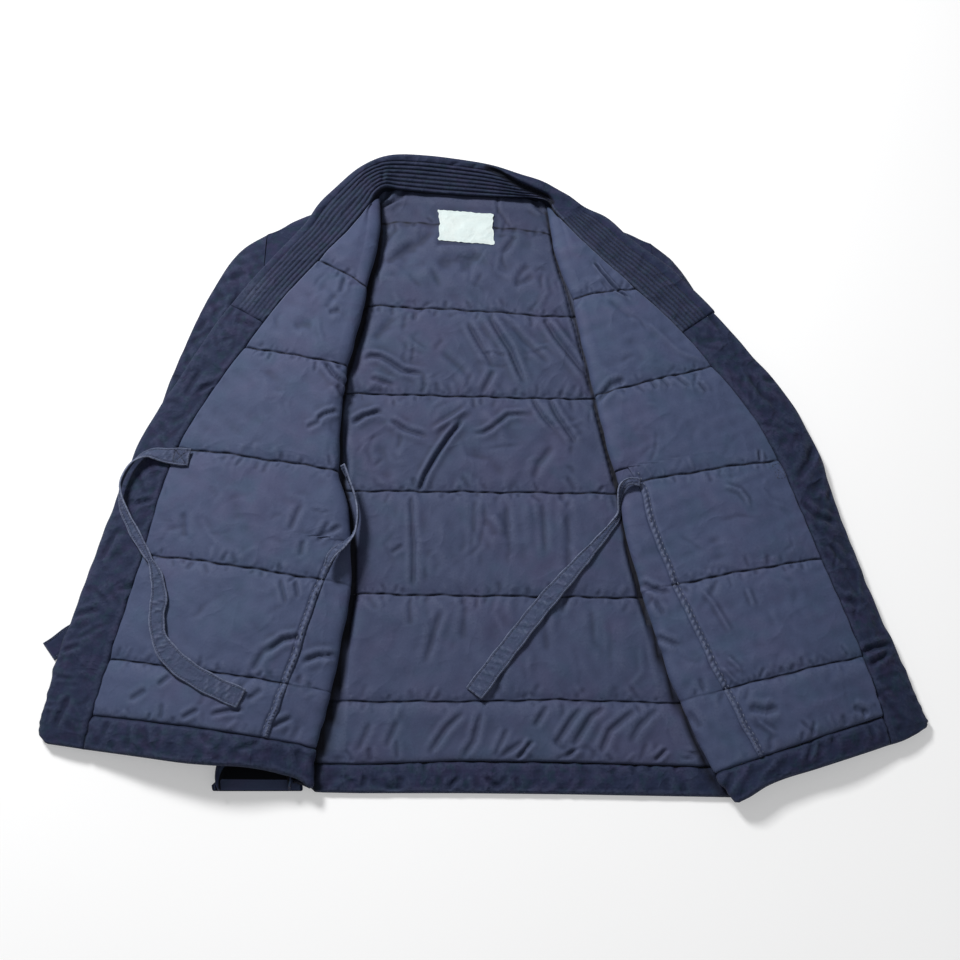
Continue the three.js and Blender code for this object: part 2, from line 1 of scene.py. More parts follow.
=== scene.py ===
"""Looks of a quilted kimono jacket that lies on its back, opened out.

Both fronts are turned outwards, lining up, over the sleeves. The tables give the cloth's plan and
heights in millimetres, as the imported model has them, and every mesh is written in metres, in the
frame's own axes: X to the wearer's left, Y from the hem to the collar, Z up.

The cloth is described by levels. Level 0 is the shoulder line, 1 to 5 are the quilting rows, 6 is
the seam of the hem facing and 7 is the hem. On each side of the jacket the cloth lies flat as the
back, turns up at SIDE, comes back as a hidden middle layer to FOLD, rolls over there and goes
outwards again as the visible top layer, past the side seam, to EDGE, where the band is sewn on.
"""

from __future__ import annotations

import logging
import math
from dataclasses import dataclass, field, replace
from enum import Enum
from typing import Sequence

import bpy
import numpy as np
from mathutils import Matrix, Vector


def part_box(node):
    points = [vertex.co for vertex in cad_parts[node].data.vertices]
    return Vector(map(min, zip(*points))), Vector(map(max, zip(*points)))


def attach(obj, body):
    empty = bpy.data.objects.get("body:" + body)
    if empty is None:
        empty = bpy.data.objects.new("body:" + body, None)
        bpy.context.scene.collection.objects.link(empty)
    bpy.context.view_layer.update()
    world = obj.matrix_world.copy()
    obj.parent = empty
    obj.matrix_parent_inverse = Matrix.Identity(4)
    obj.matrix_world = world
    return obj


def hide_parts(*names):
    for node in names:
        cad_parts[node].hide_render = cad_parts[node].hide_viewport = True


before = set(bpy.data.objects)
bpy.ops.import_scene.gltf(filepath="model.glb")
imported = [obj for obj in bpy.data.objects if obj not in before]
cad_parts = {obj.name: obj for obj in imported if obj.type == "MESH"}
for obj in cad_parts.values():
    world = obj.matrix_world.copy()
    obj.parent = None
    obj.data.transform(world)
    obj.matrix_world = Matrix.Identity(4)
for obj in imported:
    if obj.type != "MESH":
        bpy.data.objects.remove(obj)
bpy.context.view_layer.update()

LOG = logging.getLogger("jacket")

Array = np.ndarray
Colour = tuple[float, float, float]
Path = Sequence[tuple[float, float]]
Socket = bpy.types.NodeSocket
Value = Socket | Colour | float
Run = tuple[Array, Array]

MM = 0.001
HALF_PI = 0.5 * math.pi

# ---- Cloth thicknesses and clearances, in millimetres ----

SHELL_THICK = 1.5
LINING_THICK = 4.2
GAP = 0.3
CLOTH_THICK = SHELL_THICK + GAP + LINING_THICK
ROLL_RADIUS = 6.9
ROLL_REACH = 13.0
LOWER_QUARTER = HALF_PI * ROLL_RADIUS
UPPER_QUARTER = HALF_PI * math.sqrt((ROLL_RADIUS**2 + ROLL_REACH**2) / 2)
SEAM_GAP = 0.05
ROW_PITCH = 110.0
SEAM_RIDGE = 2.5
SEAM_FOOT = 6.4
LAST_ROW_LEVEL = 5.0
LAST_ROW_PITCH = 62.0
SIDE_LAST_PITCH = 55.0
SIDE_HEM_WIDTH = 32.0
BACK_HEM_WIDTH = 27.0
EDGE_ROUND = 2.9
UNDER_ROUND = 2.6
TUFT = 0.8
DEEPEST = 2.8
THREAD_PROUD = 0.12
CREASE_SCALE = 1.35
TUBE_COLUMN = 2.5
SHARP_ANGLE = math.radians(58)
BLOCK = 3
TURN_COLUMNS = 6
LEVEL_GAP = 0.004

HEM_SEAM_LEVEL = 6.0
HEM_LEVEL = 7.0
UNDERARM_LEVEL = 2.5
YOKE_LEVEL = 0.3
QUILTED_ROWS = (1, 2, 3, 4, 5)

LABEL_CENTRE = (-16.0, 311.0)
LABEL_SIZE = (60.0, 43.0)


class Slot(Enum):
    """Names of material slots."""

    LINING = "lining"
    SHELL = "shell"
    TIE = "tie"
    LABEL = "label"


class Held(Enum):
    """Ways in which a sheet of this jacket is held."""

    LAID = "laid"
    FOLDED = "folded"


# ---- Tables of plan and heights ----


def smoothstep(low: float, high: float, value: Array | float) -> Array:
    """Smooth step from 0 at low to 1 at high."""
    part = np.clip((value - low) / (high - low), 0, 1)
    return part * part * (3 - 2 * part)


def bell(distance: Array, width: float) -> Array:
    """Bell curve: 1 at no distance, and about a fiftieth at twice the width."""
    return np.exp(-((distance / width) ** 2))


def unit(vectors: Array) -> Array:
    """Vectors of length one in the same directions."""
    return vectors / np.linalg.norm(vectors, axis=-1, keepdims=True)


def stacked(*parts: Array | float) -> Array:
    """Points that have the given arrays as their coordinates."""
    return np.stack(np.broadcast_arrays(*parts), -1)


def on_plan(plan: Array, z: Array) -> Array:
    """Points at heights above places in plan."""
    return np.concatenate([plan, z[..., None]], -1)


def runs_along(points: Array) -> Array:
    """How far along a line each of its points is."""
    return np.concatenate([[0], np.cumsum(np.linalg.norm(np.diff(points, axis=0), axis=1))])


def between(marks: Path, at: Array) -> Array:
    """Values at those keys, along straight lines between marks of a key and a value each."""
    return np.interp(at, *np.array(marks).T)


def chosen(values: Sequence[Array | float], index: Array) -> Array:
    """At each point of a grid, the value whose number is given there."""
    return np.choose(index, np.broadcast_arrays(*values))


def cubic(part: Array, start: Array, end: Array, leaving: Array, arriving: Array) -> Array:
    """Cubic curve from one value to another.

    Args:
        part: How far along the curve, from 0 to 1.
        start: Value at its start.
        end: Value at its end.
        leaving: Slope at its start, for the whole of the curve's length.
        arriving: Slope at its end.

    Returns:
        The curve's values.
    """
    square, cube = part**2, part**3
    return (
        start * (2 * cube - 3 * square + 1)
        + leaving * (cube - 2 * square + part)
        + end * (3 * square - 2 * cube)
        + arriving * (cube - square)
    )


class Table:
    """Rows of numbers under named columns, of which the first is the key."""

    def __init__(self, columns: str, rows: Sequence[Sequence[float]]) -> None:
        """Keeps the rows.

        Args:
            columns: Names of the columns, with spaces between them.
            rows: One sequence of numbers for each row.
        """
        self.columns = columns.split()
        self.rows = np.array(rows, dtype=float)

    def curve(self, column: str, at: Array | float) -> Array:
        """Reads a column along a smooth curve through its rows.

        Args:
            column: Name of the column.
            at: Values of the key.

        Returns:
            The column's values there.
        """
        return smooth_curve(self.rows[:, 0], self.rows[:, self.columns.index(column)], at)

    def curves(self, columns: str, at: Array | float) -> list[Array]:
        """Several columns along their curves, named with spaces between them."""
        return [self.curve(column, at) for column in columns.split()]


def smooth_curve(keys: Array, values: Array, at: Array | float) -> Array:
    """Smooth curve through values: a cubic between neighbours.

    Its slope at a value is the slope of the straight line between the two values beside it.

    Args:
        keys: Rising keys of the values.
        values: Values at the keys.
        at: Keys to read the curve at.

    Returns:
        The curve's values.
    """
    slopes = np.empty_like(values)
    slopes[1:-1] = (values[2:] - values[:-2]) / (keys[2:] - keys[:-2])
    slopes[[0, -1]] = (values[[1, -1]] - values[[0, -2]]) / (keys[[1, -1]] - keys[[0, -2]])
    i = np.clip(np.searchsorted(keys, at, side="right") - 1, 0, len(keys) - 2)
    span = keys[i + 1] - keys[i]
    part = np.clip((at - keys[i]) / span, 0, 1)
    return cubic(part, values[i], values[i + 1], slopes[i] * span, slopes[i + 1] * span)


BACK_PLAN = Table("level rightX rightY rightNeckY centreY leftNeckY leftY leftX", [
    [0, -243, 299, 360, 354, 345, 286, 195],
    [0.3, -243, 272, 320, 317, 306, 262, 195],
    [1, -243, 212, 208, 203, 195, 190, 195],
    [2, -243, 102, 98, 95, 92, 93, 195],
    [2.5, -240, 44, 42, 40, 38, 38, 195],
    [3, -217, -13, -15, -16, -17, -19, 194],
    [4, -178, -125, -126, -128, -129, -131, 196],
    [5, -171, -232, -234, -234, -232, -236, 212],
    [6, -168, -292, -293, -290, -291, -296, 235],
    [7, -168, -318, -319, -319, -320, -323, 251],
])

RIGHT_PLAN = Table("level foldX foldY edgeX edgeY strip band", [
    [0, -116, 346, -126, 334, 0, 44],
    [0.5, -116, 292, -152, 294, 0, 45],
    [1, -126, 225, -180, 257, 0, 46],
    [1.5, -134, 172, -218, 205, 0, 46],
    [2, -143, 124, -254, 146, 0, 46],
    [2.5, -148, 64, -287, 87, 0, 46],
    [3, -146, 2, -315, 27, 0, 46],
    [3.5, -133, -58, -328, -30, 0, 46],
    [4, -129, -121, -338, -89, 26, 46],
    [4.5, -135, -174, -349, -145, 34, 47],
    [5, -143, -227, -359, -195, 40, 48],
    [6, -154, -279, -369, -249, 44, 48],
    [7, -155, -314, -374, -280, 46, 47],
])

RIGHT_HEIGHTS = Table("level underZ thirdZ twoThirdsZ edgeZ bandZ", [
    [0, 6.4, 22, 22.5, 23, 22],
    [1, 10.5, 25.5, 25, 24.5, 23.5],
    [2, 11.5, 26.5, 25.5, 24.5, 23],
    [2.5, 11.5, 26, 25.5, 24, 20],
    [3, 10, 25, 25.5, 23, 16],
    [3.5, 9, 25, 27, 23, 12],
    [4, 8.6, 27, 28, 21, 11],
    [5, 8.4, 31, 30, 18, 11],
    [6, 8.4, 34, 31, 17, 10],
    [7, 8.4, 34.5, 29, 15, 9],
])

LEFT_PLAN = Table("level foldX foldY edgeX edgeY strip band", [
    [0, 77, 334, 85, 324, 0, 44],
    [0.5, 87, 268, 120, 278, 0, 45],
    [1, 102, 209, 172, 220, 0, 46],
    [1.5, 113, 148, 215, 170, 0, 47],
    [2, 123, 88, 249, 122, 0, 47],
    [2.5, 133, 36, 281, 74, 0, 46],
    [3, 143, -14, 310, 13, 18, 45],
    [3.5, 149, -70, 326, -43, 24, 43],
    [4, 161, -128, 341, -94, 30, 41],
    [4.5, 176, -186, 356, -145, 36, 40],
    [5, 191, -236, 370, -193, 41, 40],
    [6, 219, -303, 383, -250, 43, 40],
    [7, 237, -330, 388, -276, 44, 39],
])

LEFT_HEIGHTS = Table("level underZ thirdZ twoThirdsZ edgeZ bandZ", [
    [0, 6.4, 21.5, 22, 22.5, 22],
    [1, 10.5, 25.5, 25, 24, 22.5],
    [2, 11.5, 26.5, 26, 24, 19.5],
    [2.5, 11.5, 26.5, 26, 23.5, 16],
    [3, 9, 25.5, 26.5, 23, 13],
    [3.5, 8.8, 25.5, 27, 23, 11],
    [4, 8.6, 26.5, 28, 23, 10],
    [5, 8.4, 27, 29, 22, 10],
    [6, 8.4, 23, 24, 18, 10],
    [7, 8.4, 20, 20, 14, 9],
])

RIGHT_SLEEVE = Table("row outerX outerY innerX innerY top", [
    [0, -243.8, 298, -243.8, 62, 15.5],
    [1, -279, 268, -253, 50, 15],
    [2, -305, 213, -259, 36, 15],
    [3, -322, 160, -259, 18, 15],
    [4, -338, 100, -253, 0, 15],
    [5, -346, 45, -244, -20, 15],
    [6, -345, -15, -229, -52, 15.5],
    [7, -333, -80, -213, -100, 17],
    [8, -314, -150, -200, -155, 19.5],
    [9, -290, -215, -191, -215, 21],
    [10, -267, -270, -186, -272, 22],
    [11, -250, -317, -181, -317, 22.5],
])

LEFT_SLEEVE = Table("row outerX outerY innerX innerY top", [
    [0, 195.6, 285, 195.6, 62, 15.5],
    [1, 226, 252, 207, 50, 15],
    [2, 249, 206, 215, 38, 15],
    [3, 266, 158, 220, 22, 15],
    [4, 282, 106, 223, 2, 15],
    [5, 298, 52, 225, -22, 15.5],
    [6, 310, -5, 227, -52, 16],
    [7, 320, -65, 230, -95, 17],
    [8, 329, -125, 234, -145, 18],
    [9, 337, -180, 240, -195, 19],
    [10, 343, -230, 249, -243, 19.5],
])

NECK = Table("row innerX innerY innerZ outerX outerY outerZ", [
    [0, -126.5, 334.3, 22.9, -160, 360, 24],
    [1, -120, 349, 22, -141, 379, 27],
    [2, -110, 361, 17, -118, 393, 29],
    [3, -94, 362.5, 11, -96, 398, 30],
    [4, -60, 359.5, 9, -62, 397, 30],
    [5, -22, 356, 9, -22, 391, 30],
    [6, 16, 353.5, 9, 16, 382, 31],
    [7, 46, 352, 10, 47, 370, 34],
    [8, 68, 347, 15, 76, 358, 35],
    [9, 80, 336, 21, 104, 345, 30],
    [10, 85.5, 324.3, 22.4, 122, 331, 24],
])

FRONT_TIE = Table("row x y z turn", [
    [0, -300, 14, 27.5, 0],
    [1, -322, 16, 27, 0],
    [2, -343, 19, 26, 25],
    [3, -359, 8, 26, 70],
    [4, -368, -14, 25, 80],
    [5, -364, -38, 24, 40],
    [6, -350, -64, 24, 10],
    [7, -333, -90, 26.5, 0],
    [8, -321, -110, 29, -10],
    [9, -314, -135, 31, 0],
    [10, -313, -160, 33, 0],
    [11, -305, -184, 35, 0],
    [12, -284, -206, 36.5, 0],
    [13, -254, -224, 37, 0],
    [14, -224, -237, 36, 0],
])

RIGHT_SIDE_TIE = Table("row x y z turn", [
    [0, -141.4, 5, 29.6, 60],
    [1, -134, -11, 24, 85],
    [2, -127, -29, 21, 90],
    [3, -124, -48, 20.5, 88],
    [4, -127, -67, 22.5, 75],
    [5, -136, -82, 31, 50],
    [6, -146, -94, 35.5, 30],
    [7, -151, -107, 36.5, 20],
])

LEFT_SIDE_TIE = Table("row x y z turn", [
    [0, 164, -14, 28, 5],
    [1, 154, -13, 28.5, 0],
    [2, 146, -18, 26.5, -25],
    [3, 142.5, -31, 19, -60],
    [4, 142, -44, 12.5, -45],
    [5, 131, -60, 11.2, -5],
    [6, 98, -98, 11.2, 8],
    [7, 64, -137, 11.0, 8],
    [8, 30, -180, 11.0, 7],
    [9, -6, -227, 10.8, 4],
])

OUTER_TIE = Table("row x y z turn", [
    [0, -366, -141, 9, 0],
    [1, -378, -149, 5.4, 0],
    [2, -391, -158, 2.6, 0],
    [3, -404, -167, 1.5, 0],
    [4, -425, -184, 1.5, 0],
])


def corner_rise(level: Array | float, x: Array | float) -> Array:
    """How much the back's right hem corner is rounded up, in millimetres."""
    return 9.0 * smoothstep(6.3, HEM_LEVEL, level) * smoothstep(-153, -167, x)


def table_origin() -> Array:
    """Shift from the tables' places to the frame's, in millimetres, read off the label's box."""
    low, high = (np.array(corner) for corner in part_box("label"))
    centre = 0.5 * (low + high)[:2] / MM
    return np.array([centre[0] - LABEL_CENTRE[0], centre[1] - LABEL_CENTRE[1], 0.0])


ORIGIN = table_origin()

# ---- Relief: creases, puckers, swells and padding ----


def round_over(distance: Array, radius: float) -> Array:
    """Drop of a quarter-round edge: the radius at the edge itself, and none a radius away."""
    part = 1 - np.clip(distance / radius, 0, 1)
    return radius * (1 - np.sqrt(np.clip(1 - part**2, 0, 1)))




def nearest(path: Array, x: Array, y: Array) -> tuple[Array, Array]:
    """Nearest place on a line of straight pieces.

    Args:
        path: Corners of the line in plan.
        x: First coordinates of the points.
        y: Second coordinates of the points.

    Returns:
        Each point's distance to the line, and how far along the line that is, from 0 to 1.
    """
    lengths = np.hypot(*np.diff(path, axis=0).T)
    best = np.full(x.shape, np.inf)
    along = np.zeros_like(x)
    start = 0.0
    for (ax, ay), (bx, by), length in zip(path[:-1], path[1:], lengths):
        wx, wy = (bx - ax) / length, (by - ay) / length
        run = np.clip((x - ax) * wx + (y - ay) * wy, 0, length)
        away = np.hypot(x - ax - run * wx, y - ay - run * wy)
        along = np.where(away < best, start + run, along)
        best = np.minimum(best, away)
        start += length
    return best, along / start


def standing(height: Array, reach: int = 3) -> Array:
    """How far each point of a grid stands above the mean of the points round it.

    Args:
        height: Grid of heights.
        reach: How many rows and columns away the mean goes, each way.

    Returns:
        Heights above the mean: over zero on ridges, below zero in troughs.
    """
    mean = height
    for axis in (0, 1):
        edges = [(reach, reach) if axis == other else (0, 0) for other in (0, 1)]
        padded = np.pad(mean, edges, mode="edge")
        mean = np.lib.stride_tricks.sliding_window_view(padded, 2 * reach + 1, axis=axis).mean(-1)
    return height - mean


def ridge_wear_and_highlight(height: Array) -> Array:
    """Share of paler colour on the ridges of a grid of heights: worn fading, and a painted highlight where
    light would catch them.
    """
    return 0.22 * np.clip(standing(height) / 0.4, 0, 1)


def trough_painted_shade(height: Array) -> Array:
    """Share of painted shade in the troughs of a grid of heights, where shade would fall."""
    return 0.30 * np.clip(-standing(height) / 0.45, 0, 1)


@dataclass(frozen=True)
class Crease:
    """A soft trough, or a ridge where its depth is negative, along a path in plan.

    Its section is a bell of the given depth and half-width, with a lower swelling on each side.
    It fades towards both ends.
    """

    depth: float
    width: float
    path: Path
    lip: float = 0.3
    fade: float = 0.25

    def height(self, x: Array, y: Array) -> Array:
        """Height that the crease adds at points in plan.

        Args:
            x: First coordinates of the points.
            y: Second coordinates of the points.

        Returns:
            Heights, below zero in the trough.
        """
        corners = np.array(self.path, dtype=float)
        reach = 4.5 * self.width
        low, high = corners.min(0) - reach, corners.max(0) + reach
        height = np.zeros_like(x)
        near = (x > low[0]) & (x < high[0]) & (y > low[1]) & (y < high[1])
        if not near.any():
            return height
        best, part = nearest(corners, x[near], y[near])
        taper = smoothstep(0, self.fade, part) * smoothstep(0, self.fade, 1 - part)
        trough = bell(best, self.width)
        sides = bell(best - 2.1 * self.width, 1.2 * self.width)
        height[near] = CREASE_SCALE * self.depth * taper * (self.lip * sides - trough)
        return height


def placed(groups: dict[tuple[float, float], Sequence[Sequence[float]]]) -> list[Crease]:
    """Creases that are placed one by one.

    Args:
        groups: Rows of numbers, under the lip and the fade that they share. A row has a depth,
            a half-width, and then the X and Y of each corner of the path.

    Returns:
        One crease for each row.
    """
    return [
        Crease(depth, width, list(zip(path[::2], path[1::2])), lip, fade)
        for (lip, fade), rows in groups.items()
        for depth, width, *path in rows
    ]


@dataclass(frozen=True)
class Puckers:
    """Small wrinkles that run out from a stitched line, uneven in place, length and slant."""

    seed: int
    spacing: float = 11.0
    reach: float = 15.0
    depth: float = 0.5
    width: float = 2.2
    slant: float = 0.5

    def along(self, path: Path) -> list[Crease]:
        """Places the wrinkles on both sides of a line.

        Args:
            path: Corners of the stitched line in plan.

        Returns:
            One crease for each wrinkle.
        """
        random = np.random.default_rng(self.seed)
        corners = np.array(path, dtype=float)
        runs = runs_along(corners)
        found = []
        at = self.spacing * random.uniform(0.3, 1)
        while at < runs[-1]:
            centre = np.array([np.interp(at, runs, corners[:, i]) for i in (0, 1)])
            i = min(int(np.searchsorted(runs, at)), len(corners) - 1) - 1
            way = unit(corners[i + 1] - corners[i])
            side = random.choice([-1.0, 1.0])
            out = np.array([-way[1], way[0]]) * side + way * random.normal(0, self.slant)
            reach = self.reach * random.uniform(0.45, 1.5)
            ends = (tuple(centre + out * 0.6), tuple(centre + out * reach))
            depth = self.depth * random.uniform(0.4, 1.3) * random.choice([1.0, 1.0, -0.7])
            found.append(Crease(depth, self.width * random.uniform(0.7, 1.4), ends, 0.35, 0.3))
            at += self.spacing * random.uniform(0.5, 1.6)
        return found

    def beside_row(self, path: Path) -> list[Crease]:
        """These wrinkles beside a quilted row, and among them shorter, finer and closer ones."""
        fine = replace(self, spacing=6.0, reach=6.5, depth=0.36, width=1.6)
        return self.along(path) + fine.along(path)


@dataclass(frozen=True)
class Strewn:
    """Small creases strewn over a stretch of cloth in seeded places, lengths and headings."""

    seed: int
    count: int
    low: tuple[float, float]
    high: tuple[float, float]
    depth: float = 0.5
    width: float = 1.7
    length: float = 24.0
    heading: float = 60.0
    spread: float = 40.0

    def creases(self) -> list[Crease]:
        """Places the creases.

        Returns:
            Creases of two straight pieces, bent a little at the middle, some of them ridges.
        """
        random = np.random.default_rng(self.seed)
        found = []
        for _ in range(self.count):
            start = random.uniform(self.low, self.high)
            heading = math.radians(random.normal(self.heading, self.spread))
            way = np.array([math.cos(heading), math.sin(heading)])
            length = self.length * random.uniform(0.4, 1.6)
            bend = np.array([-way[1], way[0]]) * length * random.normal(0, 0.14)
            path = [tuple(start), tuple(start + 0.5 * length * way + bend), tuple(start + length * way)]
            depth = self.depth * random.uniform(0.4, 1.5) * random.choice([1.0, 1.0, -1.0])
            found.append(Crease(depth, self.width * random.uniform(0.8, 1.5), path, 0.35, 0.35))
        return found


@dataclass(frozen=True)
class Swell:
    """Soft unevenness of lying cloth: a sum of sine waves in seeded directions."""

    seed: int
    height: float
    shortest: float
    longest: float
    waves: int = 9

    def at(self, x: Array, y: Array) -> Array:
        """Height of the swell at points in plan: each wave has a share of the whole height.

        Args:
            x: X of the points in plan.
            y: Y of the points in plan.

        Returns:
            Heights in millimetres.
        """
        random = np.random.default_rng(self.seed)
        total = np.zeros_like(x)
        for _ in range(self.waves):
            length = random.uniform(self.shortest, self.longest)
            heading, phase = random.uniform(0, 2 * math.pi, 2)
            run = x * math.cos(heading) + y * math.sin(heading)
            total += np.sin(2 * math.pi * run / length + phase)
        return self.height * total / math.sqrt(self.waves)


@dataclass(frozen=True)
class Relief:
    """All that stands above or below a panel's plain form."""

    creases: Sequence[Crease] = ()
    swells: Sequence[Swell] = ()

    def at(self, x: Array, y: Array) -> Array:
        """Sum of the heights of all creases and swells at points in plan.

        Args:
            x: X of the points in plan.
            y: Y of the points in plan.

        Returns:
            Heights in millimetres.
        """
        total = np.zeros_like(x)
        for crease in self.creases:
            total += crease.height(x, y)
        for swell in self.swells:
            total += swell.at(x, y)
        return total


@dataclass(frozen=True)
class Padding:
    """Padding between stitched rows: it rises steeply beside a row and is flat between rows."""

    rows: Sequence[float]
    puff: float = 2.9
    rise: float = 9.0
    groove: float = 1.3
    thread_width: float = 0.9

    def wander(self, row: float, run: Array) -> Array:
        """How far a row strays from its level along its run, in millimetres: two sines."""
        return 0.5 * np.sin(run / 10.7 + 2.1 * row) + 0.35 * np.sin(run / 4.3 + 5 * row)

    def distance(self, level: Array, run: Array) -> Array:
        """Distance to the nearest stitched row, in millimetres.

        Args:
            level: Levels.
            run: Distances along the rows.

        Returns:
            Distances across the rows.
        """
        away = [np.abs((level - row) * ROW_PITCH - self.wander(row, run)) for row in self.rows]
        return np.min(away, axis=0)

    def height(self, level: Array, run: Array) -> Array:
        """Height of the padding.

        Args:
            level: Levels.
            run: Distances along the rows.

        Returns:
            A rise that eases off, less a groove at the thread that is pulled in unevenly.
        """
        away = self.distance(level, run)
        rise = self.puff * (1 - np.exp(-((away / self.rise) ** 1.15)))
        pulled = 1 + 0.5 * np.sin(run / 3.1 + 4 * level + 1.5 * np.sin(run / 13))
        return rise - self.groove * pulled * bell(away, self.thread_width)

    def shade(self, level: Array, run: Array) -> Array:
        """Share of painted shade in the quilting groove at each level: most in the groove, none beside it."""
        uneven = 0.72 + 0.28 * np.sin(run / 2.7 + 1.3 * np.sin(run / 17))
        return 0.85 * uneven * bell(self.distance(level, run), self.thread_width)


def level_rows(marks: Sequence[float], pitch: float, crowded: Sequence[float] = ()) -> Array:
    """Levels of a panel's grid rows: evenly spaced cloth, but crowded beside stitched rows.

    The number of rows up to a level is the integral of a density, which is one row to the pitch
    plus a bell round each stitched row. Each mark has a grid row of its own, and the rows between
    two marks come in multiples of BLOCK.

    Args:
        marks: Rising levels, the panel's ends among them.
        pitch: Distance between rows away from the stitching, in millimetres.
        crowded: Levels of the stitched rows.

    Returns:
        Rising levels.
    """
    fine = np.linspace(marks[0], marks[-1], 6001)
    density = np.where(fine < LAST_ROW_LEVEL, ROW_PITCH, LAST_ROW_PITCH)
    bells = sum(bell((fine - row) * ROW_PITCH, 2.6) for row in crowded)
    density = density * (1 + 1.5 * bells)
    total = np.concatenate([[0], np.cumsum(0.5 * (density[1:] + density[:-1]) * np.diff(fine))])
    levels = [np.array([marks[0]])]
    for low, high in zip(marks[:-1], marks[1:]):
        start, end = np.interp((low, high), fine, total)
        count = BLOCK * max(1, math.ceil((end - start) / (pitch * BLOCK)))
        levels.append(np.interp(np.linspace(start, end, count + 1)[1:], total, fine))
    return np.concatenate(levels)


# ---- Meshes ----


@dataclass(frozen=True)
class Cut:
    """Flat cut of a sheet: its greatest width and length and its area, in metres."""

    width: float
    length: float
    area: float

    @classmethod
    def developed(cls, plain: Array, kept: Array | None = None) -> Cut:
        """Lays a plain form out flat.

        The width is the longest run along a row of the grid, the length the longest run along a
        column, and the area the sum of the cells' areas.

        Args:
            plain: Grid of the cloth's middle without padding or creases, in millimetres.
            kept: Which cells the cloth covers; all of them if not given.

        Returns:
            The cut.
        """
        cell = np.ones((plain.shape[0] - 1, plain.shape[1] - 1)) if kept is None else 1.0 * kept
        across = np.linalg.norm(np.diff(plain, axis=1), axis=-1)
        down = np.linalg.norm(np.diff(plain, axis=0), axis=-1)
        width = (0.5 * (across[1:] + across[:-1]) * cell).sum(1).max()
        length = (0.5 * (down[:, 1:] + down[:, :-1]) * cell).sum(0).max()
        first = plain[1:, 1:] - plain[:-1, :-1]
        second = plain[1:, :-1] - plain[:-1, 1:]
        area = (0.5 * np.linalg.norm(np.cross(first, second), axis=-1) * cell).sum()
        return cls(float(width) * MM, float(length) * MM, float(area) * MM * MM)


@dataclass
class Wall:
    """Two faces of a closed wall on one grid, with what its materials read at each point.

    Plain is the cloth's middle without padding or creases, from which its cut is worked out.
    """

    name: str
    near: Array
    far: Array
    plain: Array
    kept: Array | None = None
    # Paler shares, from worn fading and from painted highlights; the shade below is painted shade.
    wear: Array | None = None
    shade: Array | None = None
    flat: Array | None = None
    fine: bool = False

    def cut(self) -> Cut:
        """The flat cut of this wall's cloth."""
        return Cut.developed(self.plain, self.kept)

    def build(self) -> bpy.types.Object:
        """Makes the wall's mesh: both faces and a rim wherever a kept cell has no neighbour.

        A fine wall's far face takes every BLOCK-th point of its grid each way, and each face of
        its rim joins BLOCK edges of the near face to one of the far face.

        Returns:
            The new object. Its second material slot is for the far face and the rim.
        """
        step = BLOCK if self.fine else 1
        rows, columns = self.near.shape[:2]
        size = rows * columns
        cell = np.ones((rows - 1, columns - 1), bool) if self.kept is None else self.kept
        grid = np.arange(size).reshape(rows, columns)
        near_faces = self._corners(grid)[:, cell].T
        corners, block = self._corners(grid[::step, ::step]), cell[::step, ::step]
        framed = np.pad(block, 1)
        beside = [framed[:-2, 1:-1], framed[1:-1, 2:], framed[2:, 1:-1], framed[1:-1, :-2]]
        rims = []
        for i, way in enumerate((1, columns, -1, -columns)):
            bare = block & ~beside[i]
            start, end = corners[i][bare], corners[(i + 1) % 4][bare]
            edge = start[:, None] + way * np.arange(step, -1, -1)
            rims.append(np.column_stack([edge, start + size, end + size]))
        far_faces = corners[:, block].T[:, ::-1] + size
        points = np.concatenate([self.near.reshape(-1, 3), self.far.reshape(-1, 3)])
        attributes = {
            "wear": self._both_faces(self.wear, size),
            "shade": np.clip(self._both_faces(self.shade, size), 0, 1),
        }
        flat = self.near[..., :2] if self.flat is None else self.flat
        cut = np.tile(flat.reshape(-1, 2), (2, 1))
        faces = [near_faces, far_faces, np.concatenate(rims)]
        return solid_object(self.name, points, faces, cut, attributes, len(near_faces))

    @staticmethod
    def _corners(grid: Array) -> Array:
        """The four corners of every cell of a grid of point numbers, in order round the cell."""
        return np.stack([grid[:-1, :-1], grid[:-1, 1:], grid[1:, 1:], grid[1:, :-1]])

    @staticmethod
    def _both_faces(values: Array | None, size: int) -> Array:
        """Values for the points of both faces, or zeros."""
        return np.zeros(2 * size) if values is None else np.tile(values.ravel(), 2)


